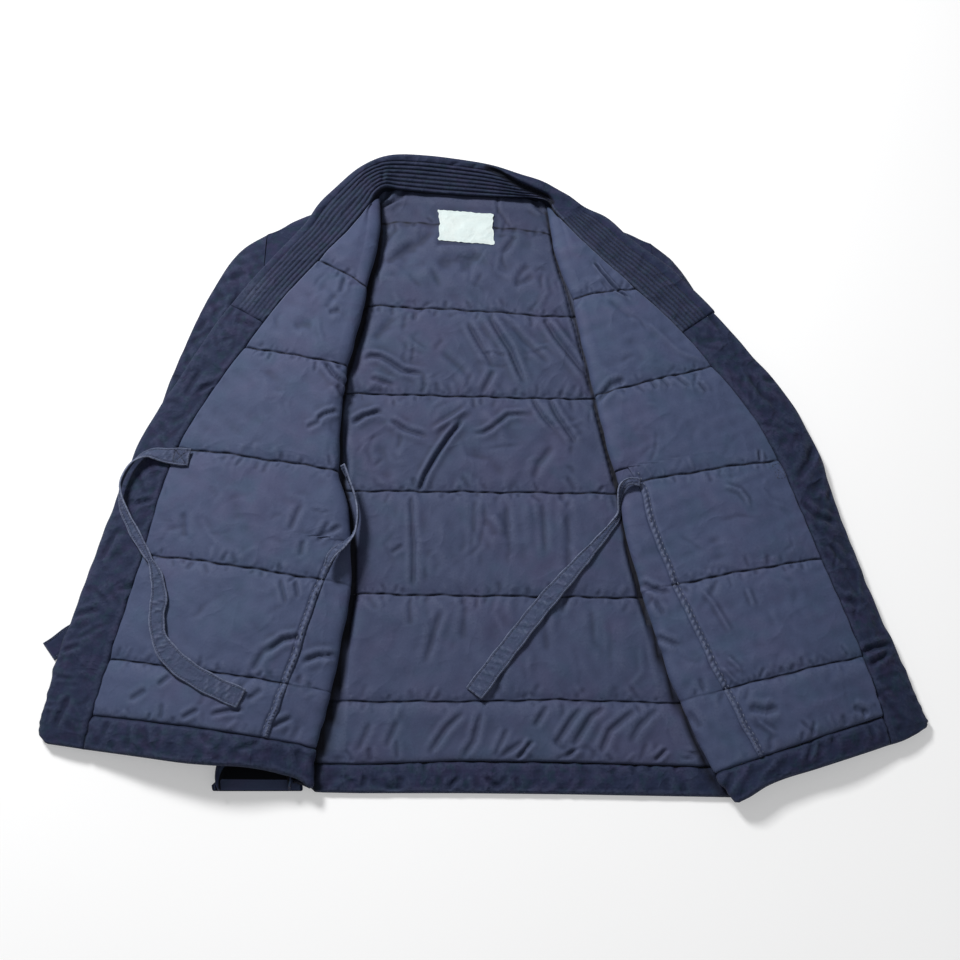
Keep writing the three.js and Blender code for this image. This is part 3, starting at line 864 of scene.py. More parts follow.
def solid_object(
    name: str, points: Array, faces: Sequence[Array], cut: Array, attributes: dict[str, Array],
    near: int,
) -> bpy.types.Object:
    """Puts a closed surface into a new object, faces outwards.

    Args:
        name: Name of the object and its mesh.
        points: Points in the tables' millimetres, one row for each.
        faces: Groups of faces; a group has one row of point numbers for each face.
        cut: Place of each point on the flat cut, in millimetres.
        attributes: Named numbers for each point.
        near: How many of the first faces take the first material; the rest take the second.

    Returns:
        The new object.
    """
    used = np.unique(np.concatenate([group.ravel() for group in faces]))
    places = (points[used] + ORIGIN) * MM
    groups = [np.searchsorted(used, group) for group in faces]
    if sum(fan_volume(places, group) for group in groups) < 0:
        groups = [group[:, ::-1] for group in groups]
    corners = np.concatenate([group.ravel() for group in groups]).astype(np.int32)
    sizes = np.concatenate([np.full(len(group), group.shape[1]) for group in groups])
    starts = np.concatenate([[0], np.cumsum(sizes)[:-1]]).astype(np.int32)
    mesh = bpy.data.meshes.new(name)
    mesh.vertices.add(len(places))
    mesh.vertices.foreach_set("co", places.astype(np.float32).ravel())
    mesh.loops.add(len(corners))
    mesh.loops.foreach_set("vertex_index", corners)
    mesh.polygons.add(len(sizes))
    mesh.polygons.foreach_set("loop_start", starts)
    second = (np.arange(len(sizes)) >= near).astype(np.int32)
    mesh.polygons.foreach_set("material_index", second)
    mesh.update(calc_edges=True)
    layer = mesh.uv_layers.new(name="Cut")
    layer.uv.foreach_set("vector", (cut[used] * MM)[corners].astype(np.float32).ravel())
    for key, values in attributes.items():
        attribute = mesh.attributes.new(key, "FLOAT", "POINT")
        attribute.data.foreach_set("value", values[used].astype(np.float32))
    mesh.shade_smooth()
    mesh.set_sharp_from_angle(angle=SHARP_ANGLE)
    return show(name, mesh)


def fan_volume(places: Array, faces: Array) -> float:
    """Six times the signed volume under faces that are cut into triangles from a first corner.

    Args:
        places: Points in metres.
        faces: Point numbers, one row for each face.

    Returns:
        The volume, positive where the faces look outwards.
    """
    fans = [
        np.sum(places[faces[:, 0]] * np.cross(places[faces[:, i]], places[faces[:, i + 1]]))
        for i in range(1, faces.shape[1] - 1)
    ]
    return float(sum(fans))


def resample(path: Array, pitch: float) -> Array:
    """Points at equal steps along a line.

    Args:
        path: Points of the line.
        pitch: Wanted step.

    Returns:
        Points whose step is the nearest to the pitch that divides the line evenly.
    """
    runs = runs_along(path)
    count = max(2, int(round(runs[-1] / pitch)) + 1)
    at = np.linspace(0, runs[-1], count)
    return np.stack([np.interp(at, runs, column) for column in path.T], axis=-1)


@dataclass(frozen=True)
class Stitching:
    """Machine stitches: short round-ended bars of thread laid along lines."""

    pitch: float = 3.2
    length: float = 2.4
    thick: float = 0.42

    def build(self, name: str, runs: Sequence[tuple[Array, Array]]) -> bpy.types.Object:
        """Makes all the stitches of several lines as one mesh.

        Each bar has four rings of four points, thick in the middle, and both ends sink into the
        cloth.

        Args:
            name: Name of the object.
            runs: For each line, its points and the outward direction of the cloth there.

        Returns:
            The new object.
        """
        starts, ends = [], []
        for run in runs:
            both = resample(np.concatenate(run, axis=1), self.pitch)
            starts.append(both[:-1])
            ends.append(both[1:])
        start, end = np.concatenate(starts), np.concatenate(ends)
        centre, out = np.split(0.5 * (start + end), 2, axis=1)
        way = unit((end - start)[:, :3])
        across = unit(np.cross(way, out))
        up = np.cross(across, way)
        along = np.array([-0.5, -0.2, 0.2, 0.5])[:, None] * self.length
        girth = np.array([0.2, 1.0, 1.0, 0.2])[:, None] * 0.5 * self.thick
        sink = np.array([-0.5, 0.05, 0.05, -0.5])[:, None] * self.thick
        angle = np.arange(4) * HALF_PI
        rings = sum(
            direction[:, None, None, :] * amount[None, :, :, None]
            for direction, amount in (
                (way, along), (up, sink + girth * np.sin(angle)), (across, girth * np.cos(angle)),
            )
        )
        points = (centre[:, None, None, :] + rings).reshape(-1, 3)
        ring = np.arange(4)
        after = (ring + 1) % 4
        sides = [stacked(ring, after, after + 4, ring + 4) + 4 * k for k in range(3)]
        bar = np.concatenate([*sides, [[3, 2, 1, 0]], [[12, 13, 14, 15]]])
        every = (bar[None] + 16 * np.arange(len(centre))[:, None, None]).reshape(-1, 4)
        return solid_object(name, points, [every], points[:, :2], {}, len(every))


# ---- Finishes ----


class Nodes:
    """Short way to add and join the nodes of one material."""

    def __init__(self, name: str) -> None:
        """Starts an empty material of that name."""
        self.material = bpy.data.materials.new(name)
        self.material.use_nodes = True
        self.tree = self.material.node_tree
        self.tree.nodes.clear()

    def add(
        self, kind: str, settings: dict[str, str] | None = None, **inputs: Value
    ) -> bpy.types.Node:
        """Adds a node.

        Args:
            kind: Node type, without its ShaderNode prefix.
            settings: Values of the node's own properties.
            **inputs: Values or output sockets for its inputs: by name with _ for a space, or by
                number with i before it.

        Returns:
            The node.
        """
        node = self.tree.nodes.new("ShaderNode" + kind)
        for key, value in (settings or {}).items():
            setattr(node, key, value)
        for key, value in inputs.items():
            numbered = key[0] == "i" and key[1:].isdigit()
            socket = node.inputs[int(key[1:]) if numbered else key.replace("_", " ")]
            if isinstance(value, bpy.types.NodeSocket):
                self.tree.links.new(value, socket)
            else:
                socket.default_value = value
        return node

    def noise(self, place: Socket, size: float, detail: float = 3.0) -> Socket:
        """Noise whose features are about that many metres across."""
        return self.add("TexNoise", Vector=place, Scale=1 / size, Detail=detail).outputs["Fac"]

    def ramp(self, value: Socket, low: float, high: float, top: float = 1.0) -> Socket:
        """Smooth share from 0 at low to top at high.

        Args:
            value: The number that it depends on.
            low: Value up to which the share is 0.
            high: Value from which the share is full.
            top: The full share.

        Returns:
            The socket of the share.
        """
        node = self.add(
            "MapRange", {"interpolation_type": "SMOOTHSTEP"},
            Value=value, From_Min=low, From_Max=high, To_Min=0.0, To_Max=top,
        )
        return node.outputs["Result"]

    def mix(self, share: Value, under: Value, over: Colour) -> Socket:
        """Colour mixed from two: the share of the second one may differ from place to place."""
        under = under if isinstance(under, bpy.types.NodeSocket) else rgba(under)
        node = self.add("Mix", {"data_type": "RGBA"}, i0=share, i6=under, i7=rgba(over))
        return node.outputs[2]

    def product(self, first: Socket, second: Value) -> Socket:
        """One number times another."""
        return self.add("Math", {"operation": "MULTIPLY"}, i0=first, i1=second).outputs[0]

    def sum(self, first: Value, second: Socket, share: float) -> Socket:
        """First height plus a share of the second."""
        node = self.add("Math", {"operation": "MULTIPLY_ADD"}, i0=second, i1=share, i2=first)
        return node.outputs[0]

    def finish(self, colour: Socket, roughness: float, **inputs: Value) -> bpy.types.Material:
        """Joins a surface of that colour to the output and returns the material."""
        shader = self.add("BsdfPrincipled", Base_Color=colour, Roughness=roughness, **inputs)
        self.add("OutputMaterial", Surface=shader.outputs[0])
        return self.material


def rgba(colour: Colour) -> tuple[float, float, float, float]:
    """The colour with full opacity."""
    return (*colour, 1.0)


@dataclass(frozen=True)
class ClothFinish:
    """Dyed cotton cloth: blotched dye, fibre specks, worn edges, painted highlights on ridges and painted
    shade in grooves and gaps, woven bump.
    """

    name: str
    base: Colour
    warm: Colour
    cool: Colour
    # worn: pale colour of the specks, of worn fading and of painted highlights.
    worn: Colour
    blotch: float = 0.06
    blotch_share: float = 0.4
    fleck: float = 0.25
    fleck_size: float = 0.0022
    roughness: float = 0.7
    sheen: float = 0.12
    weave_pitch: float = 0.0009
    weave_bump: float = 0.00005
    crumple: float = 0.00035
    crumple_size: float = 0.007
    wrinkle: float = 0.0006
    wrinkle_size: float = 0.04
    # groove: colour of the painted shade, and groove_share its greatest share.
    groove: Colour = (0.006, 0.007, 0.016)
    groove_share: float = 0.9

    def build(self) -> bpy.types.Material:
        """Makes the material.

        Returns:
            A material whose colour comes from object-space noise and the wear and shade
            attributes, and whose bump is crumpled noise plus two crossed sets of threads.
        """
        nodes = Nodes(self.name)
        place = nodes.add("TexCoord").outputs["Object"]
        cut = nodes.add("UVMap", {"uv_map": "Cut"}).outputs[0]
        warm_share = nodes.ramp(nodes.noise(place, self.blotch, 4), 0.45, 0.68, self.blotch_share)
        shifted = nodes.add("Mapping", Vector=place, Location=(3.1, 1.7, 0.4)).outputs[0]
        cool = nodes.noise(shifted, 0.6 * self.blotch, 4)
        cool_share = nodes.ramp(cool, 0.48, 0.7, self.blotch_share)
        colour = nodes.mix(warm_share, self.base, self.warm)
        colour = nodes.mix(cool_share, colour, self.cool)
        fleck = nodes.noise(shifted, self.fleck_size, 6)
        dark = tuple(0.55 * part for part in self.base)
        colour = nodes.mix(nodes.ramp(fleck, 0.52, 0.2, self.fleck), colour, dark)
        pale = nodes.ramp(fleck, 0.58, 0.85, self.fleck)
        colour = nodes.mix(pale, colour, self.worn)
        # Paler where the cloth is worn and where highlights are painted.
        wear = nodes.add("Attribute", {"attribute_name": "wear"}).outputs["Fac"]
        broken = nodes.ramp(fleck, 0.2, 0.6)
        colour = nodes.mix(nodes.product(wear, broken), colour, self.worn)
        # Darker where shade is painted.
        shade = nodes.add("Attribute", {"attribute_name": "shade"}).outputs["Fac"]
        colour = nodes.mix(nodes.product(shade, self.groove_share), colour, self.groove)
        height = self._height(nodes, place, cut)
        bump = nodes.add("Bump", Strength=1.0, Distance=1.0, Height=height)
        return nodes.finish(
            colour, self.roughness, Sheen_Weight=self.sheen, Sheen_Roughness=0.45,
            Specular_IOR_Level=0.18, Normal=bump.outputs[0],
        )

    def _height(self, nodes: Nodes, place: Socket, cut: Socket) -> Socket:
        """Height of the crumpled noise, sharp wrinkles and the crossed threads, in metres.

        Args:
            nodes: The node tree.
            place: Socket of the place in the cloth.
            cut: Socket of the place on the flat cut.

        Returns:
            The socket of the height.
        """
        height = nodes.sum(0.0, nodes.noise(place, self.crumple_size), self.crumple)
        wrinkles = nodes.add(
            "TexNoise", {"noise_type": "RIDGED_MULTIFRACTAL"}, Vector=place,
            Scale=1 / self.wrinkle_size, Detail=3.0, Roughness=0.5, Offset=0.9, Gain=1.4,
            Distortion=0.4,
        )
        height = nodes.sum(height, wrinkles.outputs["Fac"], self.wrinkle)
        for direction in ("X", "Y"):
            threads = nodes.add(
                "TexWave", {"bands_direction": direction}, Vector=cut,
                Scale=2 * math.pi / (20 * self.weave_pitch), Distortion=1.5, Detail=1.0,
            )
            height = nodes.sum(height, threads.outputs["Fac"], self.weave_bump)
        return height


@dataclass(frozen=True)
class ThreadFinish:
    """Sewing thread: one dye, slightly uneven along its twist."""

    name: str
    base: Colour
    pale: Colour

    def build(self) -> bpy.types.Material:
        """Makes the material.

        Returns:
            The material.
        """
        nodes = Nodes(self.name)
        place = nodes.add("TexCoord").outputs["Object"]
        colour = nodes.mix(nodes.ramp(nodes.noise(place, 0.004, 2), 0.35, 0.7), self.base, self.pale)
        twist = nodes.noise(place, 0.0004, 1)
        bump = nodes.add("Bump", Strength=0.4, Distance=0.0002, Height=twist)
        return nodes.finish(colour, 0.6, Sheen_Weight=0.2, Normal=bump.outputs[0])


@dataclass(frozen=True)
class FloorFinish:
    """Plain pale floor with the faintest unevenness."""

    name: str = "pale_floor"
    base: Colour = (0.74, 0.74, 0.74)

    def build(self) -> bpy.types.Material:
        """Makes the material.

        Returns:
            The material.
        """
        nodes = Nodes(self.name)
        place = nodes.add("TexCoord").outputs["Object"]
        share = nodes.ramp(nodes.noise(place, 0.5, 2), 0.3, 0.7, 0.3)
        colour = nodes.mix(share, self.base, tuple(0.98 * part for part in self.base))
        return nodes.finish(colour, 0.9, Emission_Color=colour, Emission_Strength=0.4)


LINING_CLOTH = ClothFinish(
    "lining_cotton", base=(0.0520, 0.0690, 0.137), warm=(0.0595, 0.0675, 0.137),
    cool=(0.0465, 0.0710, 0.133), worn=(0.115, 0.136, 0.212), blotch=0.05, blotch_share=0.85,
    fleck=0.18, roughness=0.66, sheen=0.03, groove=(0.0025, 0.0032, 0.009), groove_share=1.0,
)
# The lining cloth made darker for the back: painted shade, for the back lying lower, under the turned-out
# fronts.
SHADED_BACK_LINING_CLOTH = replace(
    LINING_CLOTH, name="back_lining_painted_shade", base=(0.0475, 0.0610, 0.122),
    warm=(0.0540, 0.0595, 0.122), cool=(0.0425, 0.0628, 0.119), worn=(0.105, 0.124, 0.196),
)
SHELL_CLOTH = ClothFinish(
    "shell_cotton", base=(0.0150, 0.0222, 0.0565), warm=(0.0215, 0.0222, 0.0610),
    cool=(0.0120, 0.0270, 0.0520), worn=(0.058, 0.072, 0.122), blotch=0.016, blotch_share=0.95,
    fleck=0.42, fleck_size=0.003, roughness=0.8, sheen=0.03, weave_pitch=0.0012,
    weave_bump=0.00008, crumple=0.0009, wrinkle=0.0011, wrinkle_size=0.03,
    groove=(0.002, 0.003, 0.008),
)
TIE_CLOTH = ClothFinish(
    "tie_cotton", base=(0.045, 0.0600, 0.116), warm=(0.050, 0.0590, 0.117),
    cool=(0.041, 0.0620, 0.114), worn=(0.17, 0.195, 0.285), blotch=0.012, blotch_share=0.7,
    fleck=0.3, roughness=0.72, sheen=0.03, crumple=0.0008, crumple_size=0.004,
    wrinkle=0.0006, wrinkle_size=0.016,
)
LABEL_CLOTH = ClothFinish(
    "label_satin", base=(0.67, 0.76, 0.75), warm=(0.71, 0.76, 0.74), cool=(0.63, 0.73, 0.73),
    worn=(0.74, 0.80, 0.78), blotch=0.015, blotch_share=0.5, fleck=0.08, roughness=0.55,
    sheen=0.03, weave_pitch=0.0007, crumple=0.0004, wrinkle=0.0004, wrinkle_size=0.02,
    groove=(0.30, 0.37, 0.38), groove_share=0.5,
)
# Near-black cloth for the inside of the sleeves: painted shade, for the deep shade inside the tube.
PAINTED_SHADE_INSIDE_CLOTH = ClothFinish(
    "sleeve_inside_painted_shade", base=(0.003, 0.004, 0.007), warm=(0.003, 0.003, 0.007),
    cool=(0.003, 0.004, 0.007), worn=(0.006, 0.007, 0.012), fleck=0.1, roughness=0.95, sheen=0.0,
)
DARK_THREAD = ThreadFinish("dark_thread", base=(0.009, 0.012, 0.027), pale=(0.024, 0.031, 0.062))
SHELL_THREAD = ThreadFinish("shell_thread", base=(0.004, 0.006, 0.015), pale=(0.010, 0.014, 0.031))
PALE_THREAD = ThreadFinish("worn_thread", base=(0.060, 0.074, 0.132), pale=(0.135, 0.157, 0.238))
Finish = ClothFinish | ThreadFinish

SEAM_STITCHING = Stitching(pitch=6.2, length=3.8, thick=1.0)
COLLAR_STITCHING = Stitching(thick=0.36)
TIE_STITCHING = Stitching(pitch=2.8, length=2.1, thick=0.5)


# ---- Putting finished pieces into the frame ----


def lay(piece: bpy.types.Object, cut: Cut) -> None:
    """Logs a piece's flat cut.

    Args:
        piece: The finished object.
        cut: Its flat cut.
    """
    LOG.info(
        "%s: cut %.3f by %.3f m, %.4f square metres", piece.name, cut.width, cut.length, cut.area
    )


def show(name: str, data: bpy.types.ID) -> bpy.types.Object:
    """Puts a mesh, a lamp or a camera into the scene as a new object."""
    piece = bpy.data.objects.new(name, data)
    bpy.context.scene.collection.objects.link(piece)
    return piece


# ---- The back ----

BACK_CREASES = placed({
    (0.3, 0.25): [
        (1.5, 5.5, -111, 259, -92, 276, -72, 295), (0.9, 3.5, -110, 293, -93, 314),
        (1.3, 7.0, -50, 312, -72, 288, -95, 254), (0.9, 3.5, 24, 274, 34, 288, 43, 304),
        (1.1, 6.5, -23, 246, -12, 262, -2, 285), (1.0, 3.9, 37, 236, 56, 263),
        (1.1, 3.9, 36, 232, 51, 240, 61, 249), (-0.8, 8.0, -30, 300, -52, 262, -80, 235),
        (0.9, 3.1, -62, 122, -60, 106), (1.0, 6.0, -93, 197, -119, 160),
        (0.8, 2.7, 4, 165, 12, 142), (0.8, 3.9, -45, 150, -20, 128, -8, 110),
        (-1.8, 2.8, -52, 51, -33, 64, -10, 81), (1.2, 3.9, 78, 38, 61, 14, 54, -6),
        (1.0, 7.0, -20, 34, 10, 20, 30, -4), (-0.9, 6.0, 0, 82, 22, 52, 30, 30),
        (0.9, 8.0, -110, 40, -96, 10, -98, -8), (0.9, 2.3, -91, -84, -78, -74),
        (0.6, 3.5, -6, -22, -8, -91), (0.8, 3.5, 27, -22, 30, -101), (0.7, 3.1, 65, -22, 66, -91),
        (0.7, 3.9, 92, -30, 88, -115), (-0.6, 6.0, 12, -28, 14, -96), (-0.6, 6.0, 48, -24, 49, -80),
        (-0.5, 7.0, -40, -30, -36, -100), (0.7, 3.1, -71, -132, -68, -162),
        (0.9, 3.5, -39, -140, -47, -174, -56, -202), (0.7, 3.9, -14, -133, -18, -176),
        (0.6, 3.9, 65, -143, 65, -190), (0.7, 3.9, 110, -138, 114, -190),
        (0.6, 3.9, 20, -190, 17, -230), (-0.5, 7.0, 140, -150, 138, -215),
        (-0.5, 7.0, 0, -150, 4, -205), (0.8, 2.0, 20, 353, 22, 330),
    ],
    (0.2, 0.25): [
        (1.0, 9.0, -60, 262, -10, 268, 20, 262), (-0.9, 3.5, 16, 196, 34, 166, 52, 138),
        (-0.9, 3.1, 80, 190, 96, 164, 112, 144),
    ],
    (0.5, 0.25): [
        (2.2, 2.7, -132, 137, -119, 143, -109, 142, -97, 135, -83, 125, -56, 120),
        (1.4, 2.7, -120, 117, -105, 112, -92, 107), (1.6, 2.8, -16, 190, 2, 154, 16, 128),
        (1.3, 3.1, 16, 128, 9, 112, 2, 98), (1.5, 2.3, 54, 96, 67, 70, 81, 52),
        (-1.3, 3.9, 12, -42, 24, -64), (1.3, 2.7, -50, -286, -33, -261, -13, -241),
        (1.2, 2.7, -18, -290, -6, -272, 2, -241), (0.9, 2.3, 13, -288, 27, -258),
        (1.1, 2.5, 51, -260, 66, -236), (1.5, 2.5, 70, -278, 86, -254, 99, -238),
        (1.5, 2.7, 86, -280, 107, -248, 124, -237), (1.5, 2.7, 111, -289, 124, -262, 153, -239),
        (1.1, 2.8, 140, -276, 153, -257, 174, -237),
    ],
    (0.6, 0.25): [
        (2.0, 2.8, 5, 203, 21, 172, 33, 151, 50, 104),
        (2.3, 3.0, 68, 198, 84, 167, 102, 140, 123, 108), (2.2, 2.7, -138, 60, -123, 71, -102, 78),
        (1.6, 2.5, -98, 68, -79, 54, -54, 45), (1.5, 2.3, -10, 50, 4, 51, 14, 57, 30, 72, 56, 74),
        (2.0, 2.7, 72, 95, 83, 70, 104, 34), (1.8, 1.9, 34, -290, 51, -270),
        (1.7, 1.9, 164, -291, 178, -278), (1.5, 1.9, 192, -292, 207, -276),
        (1.4, 1.9, 58, 357, 78, 341),
    ],
    (0.4, 0.25): [
        (1.1, 3.1, 31, 189, 47, 165, 79, 130), (0.8, 2.8, -104, -252, -117, -284),
        (0.8, 2.8, -78, -250, -90, -280),
    ],
    (0.5, 0.12): [
        (2.9, 2.2, -18, 66, -33, 46, -46, 24, -57, 3, -64, -18),
    ],
    (0.3, 0.12): [
        (1.2, 2.7, -72, -16, -68, -70, -67, -122),
    ],
    (0.7, 0.15): [
        (1.8, 2.0, -118, 348, -103, 357, -80, 365), (1.8, 2.0, 44, 356, 60, 346, 77, 331),
    ],
    (0.7, 0.25): [
        (1.6, 1.9, -116, 340, -97, 352, -84, 356),
    ],
    (0.1, 0.25): [
        (2.6, 6.5, -108, 330, -110, 292, -116, 262, -120, 240),
        (2.6, 6.5, -126, 200, -132, 172, -138, 140, -143, 112),
        (2.4, 3.9, -146, 70, -144, 30, -138, -10),
    ],
    (0.1, 0.1): [
        (2.4, 6.0, -128, -60, -126, -120, -134, -200, -147, -290),
    ],
    (0.0, 0.1): [
        (2.2, 2.0, 80, 320, 86, 268, 99, 212, 111, 150, 121, 90),
        (2.2, 2.0, 121, 90, 131, 38, 141, -14),
        (2.2, 2.7, 146, -62, 158, -126, 173, -184, 188, -234, 208, -284),
    ],
})

# Widths of the painted shadow beside each fold, in millimetres, by level.
RIGHT_FOLD_SHADOW = (
    (0, 1.0), (0.5, 3.0), (1, 4.5), (1.6, 5.5), (2, 3.0), (2.6, 2.0), (3.2, 2.5), (4, 5.0), (7, 6.0),
)
LEFT_FOLD_SHADOW = ((0, 1.0), (0.6, 1.0), (2, 1.0), (2.7, 1.6), (3, 2.4), (5, 3.2), (7, 3.0))
BACK_MARKS = (0.0, 4.0, 7.0, 10.0, 14.0)
NECK_RIGHT_X = -113.0
NECK_LEFT_X = 76.0
TUCK = 14.0


@dataclass
class Back:
    """The back of the jacket: outer cloth on the floor, quilted lining up, hem facing, label."""

    padding: Padding = Padding((YOKE_LEVEL, *QUILTED_ROWS, HEM_SEAM_LEVEL))
    visible_columns: int = 180
    side_columns: int = 6
    row_pitch: float = 1.75
    shown_from: float = 2.9
    shown_to: float = 12.9
    last_pitch: float = 58.0
    under_label: float = 1.2
    neck_dip: float = 3.2
    lowest: float = -3.4

    def __post_init__(self) -> None:
        """Gathers the relief of the lining: placed creases, and puckers at each stitched row."""
        creases = list(BACK_CREASES)
        for row in QUILTED_ROWS:
            puckers = Puckers(seed=39 + row, spacing=9.0, reach=13.0, depth=0.6)
            creases += puckers.beside_row(self.line(row))
        creases += Strewn(
            55, 100, (-140, 0), (120, 310), depth=0.32, width=2.0, length=34, heading=75, spread=55
        ).creases()
        creases += Strewn(
            56, 60, (-135, -230), (200, -20), depth=0.26, width=2.6, length=44, heading=88, spread=12
        ).creases()
        at_hem = Puckers(seed=50, spacing=8, reach=18, depth=0.8, slant=0.9)
        creases += at_hem.along(self.line(HEM_SEAM_LEVEL))
        creases += Puckers(seed=51, spacing=16, reach=9, depth=0.5).along(self.line(YOKE_LEVEL))
        self.relief = Relief(creases, [Swell(3, 0.55, 38, 95), Swell(4, 0.22, 16, 34)])
        facing = Puckers(52, spacing=9, reach=18, depth=1.1, width=2.8, slant=0.9)
        hem_creases = facing.along([(-150, -302), (240, -304)])
        self.hem_relief = Relief(hem_creases, [Swell(5, 0.45, 12, 34)])

    def place(self, level: Array, across: Array) -> tuple[Array, Array]:
        """Plan of the back: straight stretches between five marks along each level.

        Args:
            level: Levels.
            across: 0 at the right side, 4 and 10 at the neck's corners, 14 at the left side.

        Returns:
            X and Y in millimetres.
        """
        right_x, left_x, *ys = BACK_PLAN.curves(
            "rightX leftX rightY rightNeckY centreY leftNeckY leftY", level
        )
        xs = [right_x, NECK_RIGHT_X, 0.5 * (NECK_RIGHT_X + NECK_LEFT_X), NECK_LEFT_X, left_x]
        marks = np.array(BACK_MARKS)
        i = np.clip(np.searchsorted(marks, across, side="right") - 1, 0, len(marks) - 2)
        part = (across - marks[i]) / (marks[i + 1] - marks[i])
        x, y = (
            chosen(values, i) + (chosen(values, i + 1) - chosen(values, i)) * part
            for values in (xs, ys)
        )
        return x, y + corner_rise(level, x)

    def line(self, level: float) -> list[tuple[float, float]]:
        """The stitched row at one level, from side to side, as corners in plan."""
        across = np.linspace(1.5, 13.0, 14)
        x, y = self.place(np.full_like(across, level), across)
        return list(zip(x.tolist(), y.tolist()))

    def tucked(self, level: Array, x: Array, y: Array) -> Array:
        """Y of the lining with its neck edge carried on under the collar by TUCK."""
        at_neck = smoothstep(NECK_RIGHT_X - 14, NECK_RIGHT_X, x)
        at_neck = at_neck * smoothstep(NECK_LEFT_X + 24, NECK_LEFT_X + 8, x)
        return y + TUCK * at_neck * (1 - smoothstep(0, 0.07, level))

    def lift(self, level: Array, x: Array, y: Array) -> Array:
        """Height of the lining above its plain face: padding, relief, flat under the label.

        Args:
            level: Levels.
            x: X of the points in plan.
            y: Y of the points in plan.

        Returns:
            Heights in millimetres.
        """
        height = self.padding.height(level, x) * smoothstep(YOKE_LEVEL, YOKE_LEVEL + 0.06, level)
        height += self.relief.at(x, y)
        label_x = np.abs(x - LABEL_CENTRE[0]) - 0.5 * LABEL_SIZE[0]
        label_y = np.abs(y - LABEL_CENTRE[1]) - 0.5 * LABEL_SIZE[1]
        outside = smoothstep(-3, 7, np.maximum(label_x, label_y))
        height = self.under_label + (height - self.under_label) * outside
        height -= round_over((HEM_SEAM_LEVEL - level) * self.last_pitch, UNDER_ROUND)
        height -= self.neck_dip * (1 - smoothstep(0, 0.06, level))
        return np.maximum(height, self.lowest)

    def across_columns(self) -> Array:
        """Grid columns: coarse beneath the fronts, fine where the lining shows.

        Returns:
            Places across the back, as place takes them.
        """
        return np.concatenate([
            np.linspace(0, self.shown_from, self.side_columns, endpoint=False),
            np.linspace(self.shown_from, self.shown_to, self.visible_columns, endpoint=False),
            np.linspace(self.shown_to, BACK_MARKS[-1], self.side_columns + 1),
        ])

    def lining(self) -> Wall:
        """The quilted lining with its padding.

        Returns:
            The wall.
        """
        levels = level_rows((0, HEM_SEAM_LEVEL - LEVEL_GAP), self.row_pitch, self.padding.rows)
        level, across = np.meshgrid(levels, self.across_columns(), indexing="ij")
        x, y = self.place(level, across)
        top = CLOTH_THICK + self.lift(level, x, y)
        y = self.tucked(level, x, y)
        # Painted shade in the quilting grooves, in the relief's troughs and in the gaps beside the folds;
        # ridges are paler, partly painted highlight.
        shade = self.padding.shade(level, x) + trough_painted_shade(top) + self.painted_shadow_beside_folds(x, y)
        # The lining is also darker towards the neck end.
        shade += 0.2 * smoothstep(0.75, 0.15, level)
        return Wall(
            "back_quilted_lining", stacked(x, y, top), stacked(x, y, SHELL_THICK + GAP),
            stacked(x, y, CLOTH_THICK), wear=ridge_wear_and_highlight(top), shade=shade, fine=True,
        )

    @staticmethod
    def painted_shadow_beside_folds(x: Array, y: Array) -> Array:
        """Share of painted shadow in the gaps beside both folds: full at the fold, ending sharply.

        Args:
            x: X of the points in plan.
            y: Y of the points in plan.

        Returns:
            Shares.
        """
        total = np.zeros_like(x)
        for plan, gap in ((RIGHT_PLAN, RIGHT_FOLD_SHADOW), (LEFT_PLAN, LEFT_FOLD_SHADOW)):
            fold = stacked(*plan.curves("foldX foldY", np.linspace(0, HEM_LEVEL, 40)))
            away, part = nearest(fold, x, y)
            reach = between(gap, part * HEM_LEVEL)
            total += smoothstep(reach + 2.2, reach - 1.8, away)
        return total

    def shell(self) -> Wall:
        """The outer cloth that the jacket lies on.

        Returns:
            The wall.
        """
        levels = np.linspace(0, HEM_SEAM_LEVEL - LEVEL_GAP, 70)
        level, across = np.meshgrid(levels, np.linspace(0, BACK_MARKS[-1], 57), indexing="ij")
        x, y = self.place(level, across)
        floor = stacked(x, y, 0.0)
        return Wall("back_outer_cloth", stacked(x, y, SHELL_THICK), floor, floor)

    def hem(self) -> Wall:
        """The hem facing: cut from the outer cloth, folded at the hem, seamed to the lining.

        Returns:
            The wall.
        """
        levels = np.linspace(HEM_SEAM_LEVEL, HEM_LEVEL, 19)
        level, across = np.meshgrid(levels, self.across_columns(), indexing="ij")
        x, y = self.place(level, across)
        to_hem = (HEM_LEVEL - level) * BACK_HEM_WIDTH
        to_seam = (level - HEM_SEAM_LEVEL) * BACK_HEM_WIDTH
        crown = 0.9 * np.sin(math.pi * np.clip(level - HEM_SEAM_LEVEL, 0, 1))
        height = crown + self.hem_relief.at(x, y) * smoothstep(0, 4, to_hem)
        height -= round_over(to_hem, EDGE_ROUND) + round_over(to_seam, 2.2)
        # The hem edge is worn pale; ridges are paler, partly painted highlight; painted shade lies in the
        # troughs and beside the folds.
        return Wall(
            "back_hem_facing", stacked(x, y, CLOTH_THICK + height),
            stacked(x, y, round_over(to_hem, UNDER_ROUND)), stacked(x, y, CLOTH_THICK),
            wear=0.35 * bell(to_hem, 3) + ridge_wear_and_highlight(height), shade=trough_painted_shade(height) + self.painted_shadow_beside_folds(x, y),
        )

